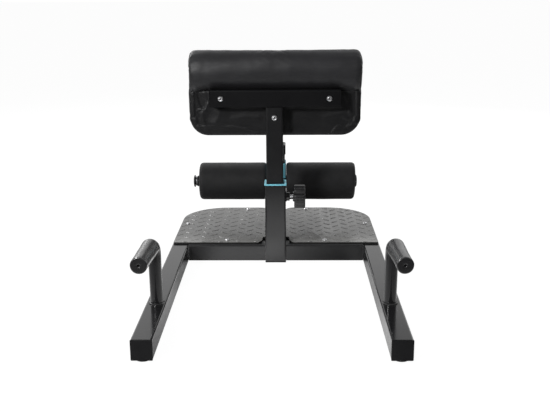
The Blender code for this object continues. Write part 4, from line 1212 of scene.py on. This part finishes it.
def waves(spots, wavelength, seed, count=9):
    """Soft random swells of about one wavelength, between -1 and 1."""
    source = np.random.RandomState(seed)
    total = np.zeros(len(spots))
    for _ in range(count):
        direction = source.normal(size=3)
        direction /= np.linalg.norm(direction)
        length = wavelength * source.uniform(0.7, 1.5)
        total += np.sin(spots @ direction * 2 * math.pi / length + source.uniform(0, 6.3))
    return total / count * 1.6


def smooth_step(value, low, high):
    share = np.clip((value - low) / (high - low), 0.0, 1.0)
    return share * share * (3 - 2 * share)


def ridge(across, up, line, width, lee=None):
    """1 along a chain of (x, z) points, falling off within a width, wider on the lee side."""
    nearest = np.full(len(across), 1e9)
    beyond = np.zeros(len(across), bool)
    for (x0, z0), (x1, z1) in zip(line, line[1:]):
        run = np.array((x1 - x0, z1 - z0))
        share = ((across - x0) * run[0] + (up - z0) * run[1]) / (run @ run)
        share = np.clip(share, 0.0, 1.0)
        away = np.hypot(across - x0 - share * run[0], up - z0 - share * run[1])
        right = run[0] * (up - z0) - run[1] * (across - x0) > 0
        beyond = np.where(away < nearest, right, beyond)
        nearest = np.minimum(nearest, away)
    return np.exp(-(nearest / np.where(beyond, lee or width, width)) ** 2)


def roof(across, up, ridge_low, ridge_high, left, right, height):
    """A fold with flat sides: it rises from the left line to a slanted ridge and falls again."""
    (x0, z0), (x1, z1) = ridge_low, ridge_high
    top = x0 + (up - z0) * (x1 - x0) / (z1 - z0)
    rise = np.clip((across - left) / (top - left), 0.0, 1.0)
    fall = np.clip((right - across) / (right - top), 0.0, 1.0)
    return height * np.minimum(rise, fall) * smooth_step(up, z0 - 0.010, z0 + 0.004)


def inflate(piece):
    """Blows the cover up against its own stretch, held where it lies on the board."""
    scene = bpy.context.scene
    held = piece.vertex_groups.new(name="held")
    rest = spots_of(piece.data)
    on_board = (rest[:, 1] < BOARD_FRONT + 0.004) & (rest[:, 2] < BOARD_TOP)
    held.add([int(index) for index in np.nonzero(on_board)[0]], 1.0, "REPLACE")
    cloth = piece.modifiers.new("cloth", "CLOTH")
    settings = cloth.settings
    settings.quality = 6
    settings.use_pressure = True
    settings.uniform_pressure_force = 4.0
    settings.tension_stiffness = 25.0
    settings.compression_stiffness = 12.0
    settings.bending_stiffness = 0.6
    settings.effector_weights.gravity = 0.0
    settings.vertex_group_mass = "held"
    cloth.point_cache.frame_start = 1
    cloth.point_cache.frame_end = CLOTH_FRAMES
    for number in range(1, CLOTH_FRAMES + 1):
        scene.frame_set(number)
    bake_modifiers(piece)
    scene.frame_set(1)
    moved = spots_of(piece.data) - rest
    length = np.linalg.norm(moved, axis=1)
    capped = np.minimum(length, PAD_CAP) / np.maximum(length, 1e-9)
    move_to(piece.data, rest + moved * capped[:, None])


def crease_cover(mesh):
    """Swells, gathers at the roll's ends and soft pulls in the finished cover."""
    spots = spots_of(mesh)
    normals = normals_of(mesh)
    side = np.abs(spots[:, 0]) / PAD_HALF
    in_roll = smooth_step(spots[:, 2], 0.424, 0.450)
    near_end = smooth_step(side, 0.86, 0.99)
    axis_y, axis_z = POST_Y + 0.031, 0.465
    turn = np.arctan2(spots[:, 2] - axis_z, spots[:, 1] - axis_y)
    gathers = np.abs(np.sin(turn * 6.5 + np.sign(spots[:, 0]) * 0.8)) ** 0.6
    end_face = smooth_step(side, 0.955, 0.985)
    relief = 0.00045 * waves(spots, 0.055, 3) + 0.00022 * waves(spots, 0.022, 8)
    relief += in_roll * near_end * 0.0011 * (gathers - 0.7)
    relief -= in_roll * end_face * 0.0012
    pulls = waves(spots * np.array((1.0, 0.35, 0.35)), 0.030, 12)
    relief += in_roll * smooth_step(side, 0.60, 0.95) * 0.0006 * pulls
    rests = (spots[:, 1] < BOARD_FRONT + 0.003) & (spots[:, 2] < BOARD_TOP + 0.004)
    over_bar = (spots[:, 2] < ROLL_UNDERSIDE + 0.004) & (spots[:, 1] < BOARD_FRONT)
    relief[rests] = 0.0
    relief[over_bar] = np.minimum(relief[over_bar], 0.0)
    move_to(mesh, spots + normals * relief[:, None])


def fit_to_box(mesh, low, high):
    """Scales a mesh so that its box is the CAD solid's."""
    spots = spots_of(mesh)
    here_low, here_high = spots.min(0), spots.max(0)
    low, high = np.array(low), np.array(high)
    share = (spots - here_low) / (here_high - here_low)
    move_to(mesh, low + share * (high - low))


def fill_sides(mesh):
    """Widens the cover level by level to the photographed outline above its round corners."""
    spots = spots_of(mesh)
    lowest, step = PAD_BOTTOM + PAD_CORNER - 0.004, 0.004
    level = np.floor((spots[:, 2] - lowest) / step).astype(int)
    count = level.max() + 1
    heights = lowest + (np.arange(count) + 0.5) * step
    round_top = smooth_step(heights, 0.482, 0.508)
    more = np.zeros(len(spots))
    for side, roll_half, side_half in zip((-1, 1), ROLL_HALF, SIDE_HALF):
        out = side * spots[:, 0]
        widest = np.array([out[level == index].max() for index in range(count)])
        wanted = np.where(heights > ROLL_UNDERSIDE + 0.012, roll_half, side_half)
        growth = (wanted - widest) * (1 - round_top)
        growth = np.convolve(np.pad(growth, 2, mode="edge"), np.ones(5) / 5, mode="valid")
        more += side * np.interp(spots[:, 2], heights, growth) * smooth_step(out, 0.10, 0.19)
    spots[:, 0] += more * smooth_step(spots[:, 2], lowest - 0.040, lowest)
    spots[:, 2] -= 0.0010 * smooth_step(spots[:, 2], 0.330, 0.308)
    move_to(mesh, spots)


def level_top(mesh):
    """Evens out the sag along the roll's top line."""
    spots = spots_of(mesh)
    step = 0.010
    column = np.round(spots[:, 0] / step).astype(int)
    columns = np.arange(-19, 20)
    tops = np.array([spots[column == number, 2].max() for number in columns])
    middle = np.abs(columns * step) < 0.18
    lift = np.where(middle, ROLL_TOP - tops, 0.0)
    lift = np.convolve(np.pad(lift, 2, mode="edge"), np.ones(5) / 5, mode="valid")
    spots[:, 2] += (np.interp(spots[:, 0], columns * step, lift)
                    * smooth_step(spots[:, 2], 0.440, 0.505))
    move_to(mesh, spots)


def droop_ends(mesh):
    """Lets the roll's underside hang down towards the board at both ends."""
    spots = spots_of(mesh)
    side = np.abs(spots[:, 0])
    under = smooth_step(spots[:, 2], 0.458, ROLL_UNDERSIDE + 0.002)
    behind = smooth_step(spots[:, 1], BOARD_REAR + 0.012, BOARD_REAR)
    hang = 0.0055 * smooth_step(side, 0.158, 0.190) + 0.012 * smooth_step(side, 0.191, 0.2035)
    tuck = smooth_step(side, 0.188, 0.2035) * under * behind
    spots[:, 2] -= hang * under * behind
    spots[:, 1] += (BOARD_REAR + 0.004 - spots[:, 1]) * 0.75 * tuck
    move_to(mesh, spots)


def add_pad_cover():
    low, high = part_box("pad_cushion")
    piece = linked("pad_cover", nodes["pad_cushion"].data.copy())
    add_modifier(piece, "WELD", merge_threshold=0.00001)
    add_modifier(piece, "REMESH", mode="VOXEL", voxel_size=PAD_VOXEL)
    add_modifier(piece, "SMOOTH", factor=0.5, iterations=4)
    bake_modifiers(piece)
    move_to(piece.data, spots_of(piece.data) - normals_of(piece.data) * PAD_SHRINK)
    inflate(piece)
    add_modifier(piece, "SUBSURF", levels=1, render_levels=1)
    bake_modifiers(piece)
    fit_to_box(piece.data, low, high)
    for change in (crease_cover, fill_sides, level_top, droop_ends):
        change(piece.data)
    dress(piece, VINYL, "pad_carriage")
    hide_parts("pad_cushion")


# The wrapped back: a turned-in border, corner pleats and the creases that the photograph shows
BORDER_SIDE = 0.0115
BORDER_BOTTOM = 0.024

# Each crease's line, its widths on the two sides and its height
CREASES = (
    (((-0.1600, 0.3820), (-0.1630, 0.3760), (-0.1679, 0.3680), (-0.1738, 0.3610),
      (-0.1745, 0.3465), (-0.1720, 0.3390)), 0.0030, 0.0110, 0.0026),
    (((-0.1825, 0.3668), (-0.1760, 0.3695), (-0.1690, 0.3690)), 0.0018, 0.0018, 0.0013),
    (((-0.1820, 0.4080), (-0.1770, 0.3850), (-0.1720, 0.3750)), 0.0040, 0.0040, -0.0014),
    (((-0.1660, 0.4120), (-0.1635, 0.3920), (-0.1600, 0.3830)), 0.0035, 0.0035, 0.0010),
    (((0.1570, 0.4120), (0.1745, 0.3890), (0.1780, 0.3600)), 0.0040, 0.0040, 0.0018),
    (((0.1190, 0.3490), (0.1460, 0.3560), (0.1710, 0.3590)), 0.0070, 0.0070, 0.0008),
    (((0.1650, 0.3490), (0.1800, 0.3430), (0.1940, 0.3360)), 0.0040, 0.0040, 0.0009),
    (((0.1625, 0.3260), (0.1685, 0.3315), (0.1760, 0.3450)), 0.0040, 0.0040, -0.0008),
    (((-0.1900, 0.3450), (-0.1720, 0.3370), (-0.1600, 0.3220)), 0.0035, 0.0035, 0.0005),
    (((-0.1000, 0.3450), (-0.0700, 0.3520), (-0.0400, 0.3470)), 0.0070, 0.0070, 0.0009),
)
FOLD_RIDGE = ((-0.1435, 0.3345), (-0.1317, 0.3615))
FOLD_LEFT = -0.1650
FOLD_RIGHT = -0.1070
FOLD_HEIGHT = 0.0026


def back_relief(spots):
    """How far the wrapped back stands out towards the viewer, in metres."""
    across, up = spots[:, 0], spots[:, 2]
    bottom = BACK_BOTTOM
    from_side = BACK_HALF - np.abs(across)
    corner_x = np.abs(across) - (BACK_HALF - PAD_CORNER)
    corner_z = (bottom + PAD_CORNER) - up
    in_corner = (corner_x > 0) & (corner_z > 0)
    radial = np.hypot(corner_x, corner_z)
    fades = smooth_step(across, -0.110, 0.0) * smooth_step(across, 0.150, 0.120)
    border = np.minimum(from_side / BORDER_SIDE, (up - bottom) / BORDER_BOTTOM + 1.2 * fades)
    border = np.where(in_corner, np.minimum(border, (PAD_CORNER - radial) / 0.016), border)
    relief = -0.0012 * smooth_step(border, 0.93, 1.10)
    sweep = np.arctan2(corner_z, corner_x)
    pleats = np.abs(np.sin(sweep * 5.5)) ** 0.5 - 0.6
    relief += np.where(in_corner, 0.0009 * pleats * smooth_step(radial, 0.018, 0.036), 0.0)
    for line, width, lee, height in CREASES:
        relief += height * ridge(across, up, line, width, lee)
    relief += roof(across, up, *FOLD_RIDGE, FOLD_LEFT, FOLD_RIGHT, FOLD_HEIGHT)
    relief += 0.0008 * waves(spots, 0.075, 21) + 0.00035 * waves(spots, 0.028, 34)
    bar = np.maximum(np.abs(across) - 0.1535, np.abs(up - 0.3992) - 0.020)
    post = np.maximum(np.abs(across + 0.00135) - 0.020, up - 0.385)
    clear = smooth_step(np.minimum(bar, post), 0.0005, 0.012)
    return np.clip(relief * clear, -0.004, 0.0048) - 0.0001


def add_pad_back():
    half, bottom, top = BACK_HALF, BACK_BOTTOM, BOARD_TOP
    left, right = BACK_CORNERS
    small = 0.010
    outline = arc_points((half - small, top - small), small, 0, 90, 6)
    outline += arc_points((-half + small, top - small), small, 90, 180, 6)
    outline += arc_points((-half + left, bottom + left), left, 180, 270, 16)
    outline += arc_points((half - right, bottom + right), right, 270, 360, 16)
    piece = linked("pad_back", skinned("pad_back", [[(x, y, z) for x, z in outline]
                                                    for y in (BOARD_REAR, BOARD_FRONT)]))
    add_modifier(piece, "BEVEL", width=BACK_EDGE, segments=6, limit_method="ANGLE")
    add_modifier(piece, "REMESH", mode="VOXEL", voxel_size=BACK_VOXEL)
    add_modifier(piece, "SMOOTH", factor=0.5, iterations=3)
    bake_modifiers(piece)
    spots = spots_of(piece.data)
    depth = smooth_step(spots[:, 1], BOARD_REAR + BACK_EDGE, BOARD_REAR + 0.001)
    spots[:, 1] -= back_relief(spots) * depth
    move_to(piece.data, spots)
    dress(piece, SHADED_BACK_VINYL, "pad_carriage")
    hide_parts("pad_board")


add_pad_cover()
add_pad_back()
add_welds()
add_handles()
add_rollers()
add_trims()
add_locks()
add_screws()
add_feet()
add_plates()
add_notch_shade()
add_tread()
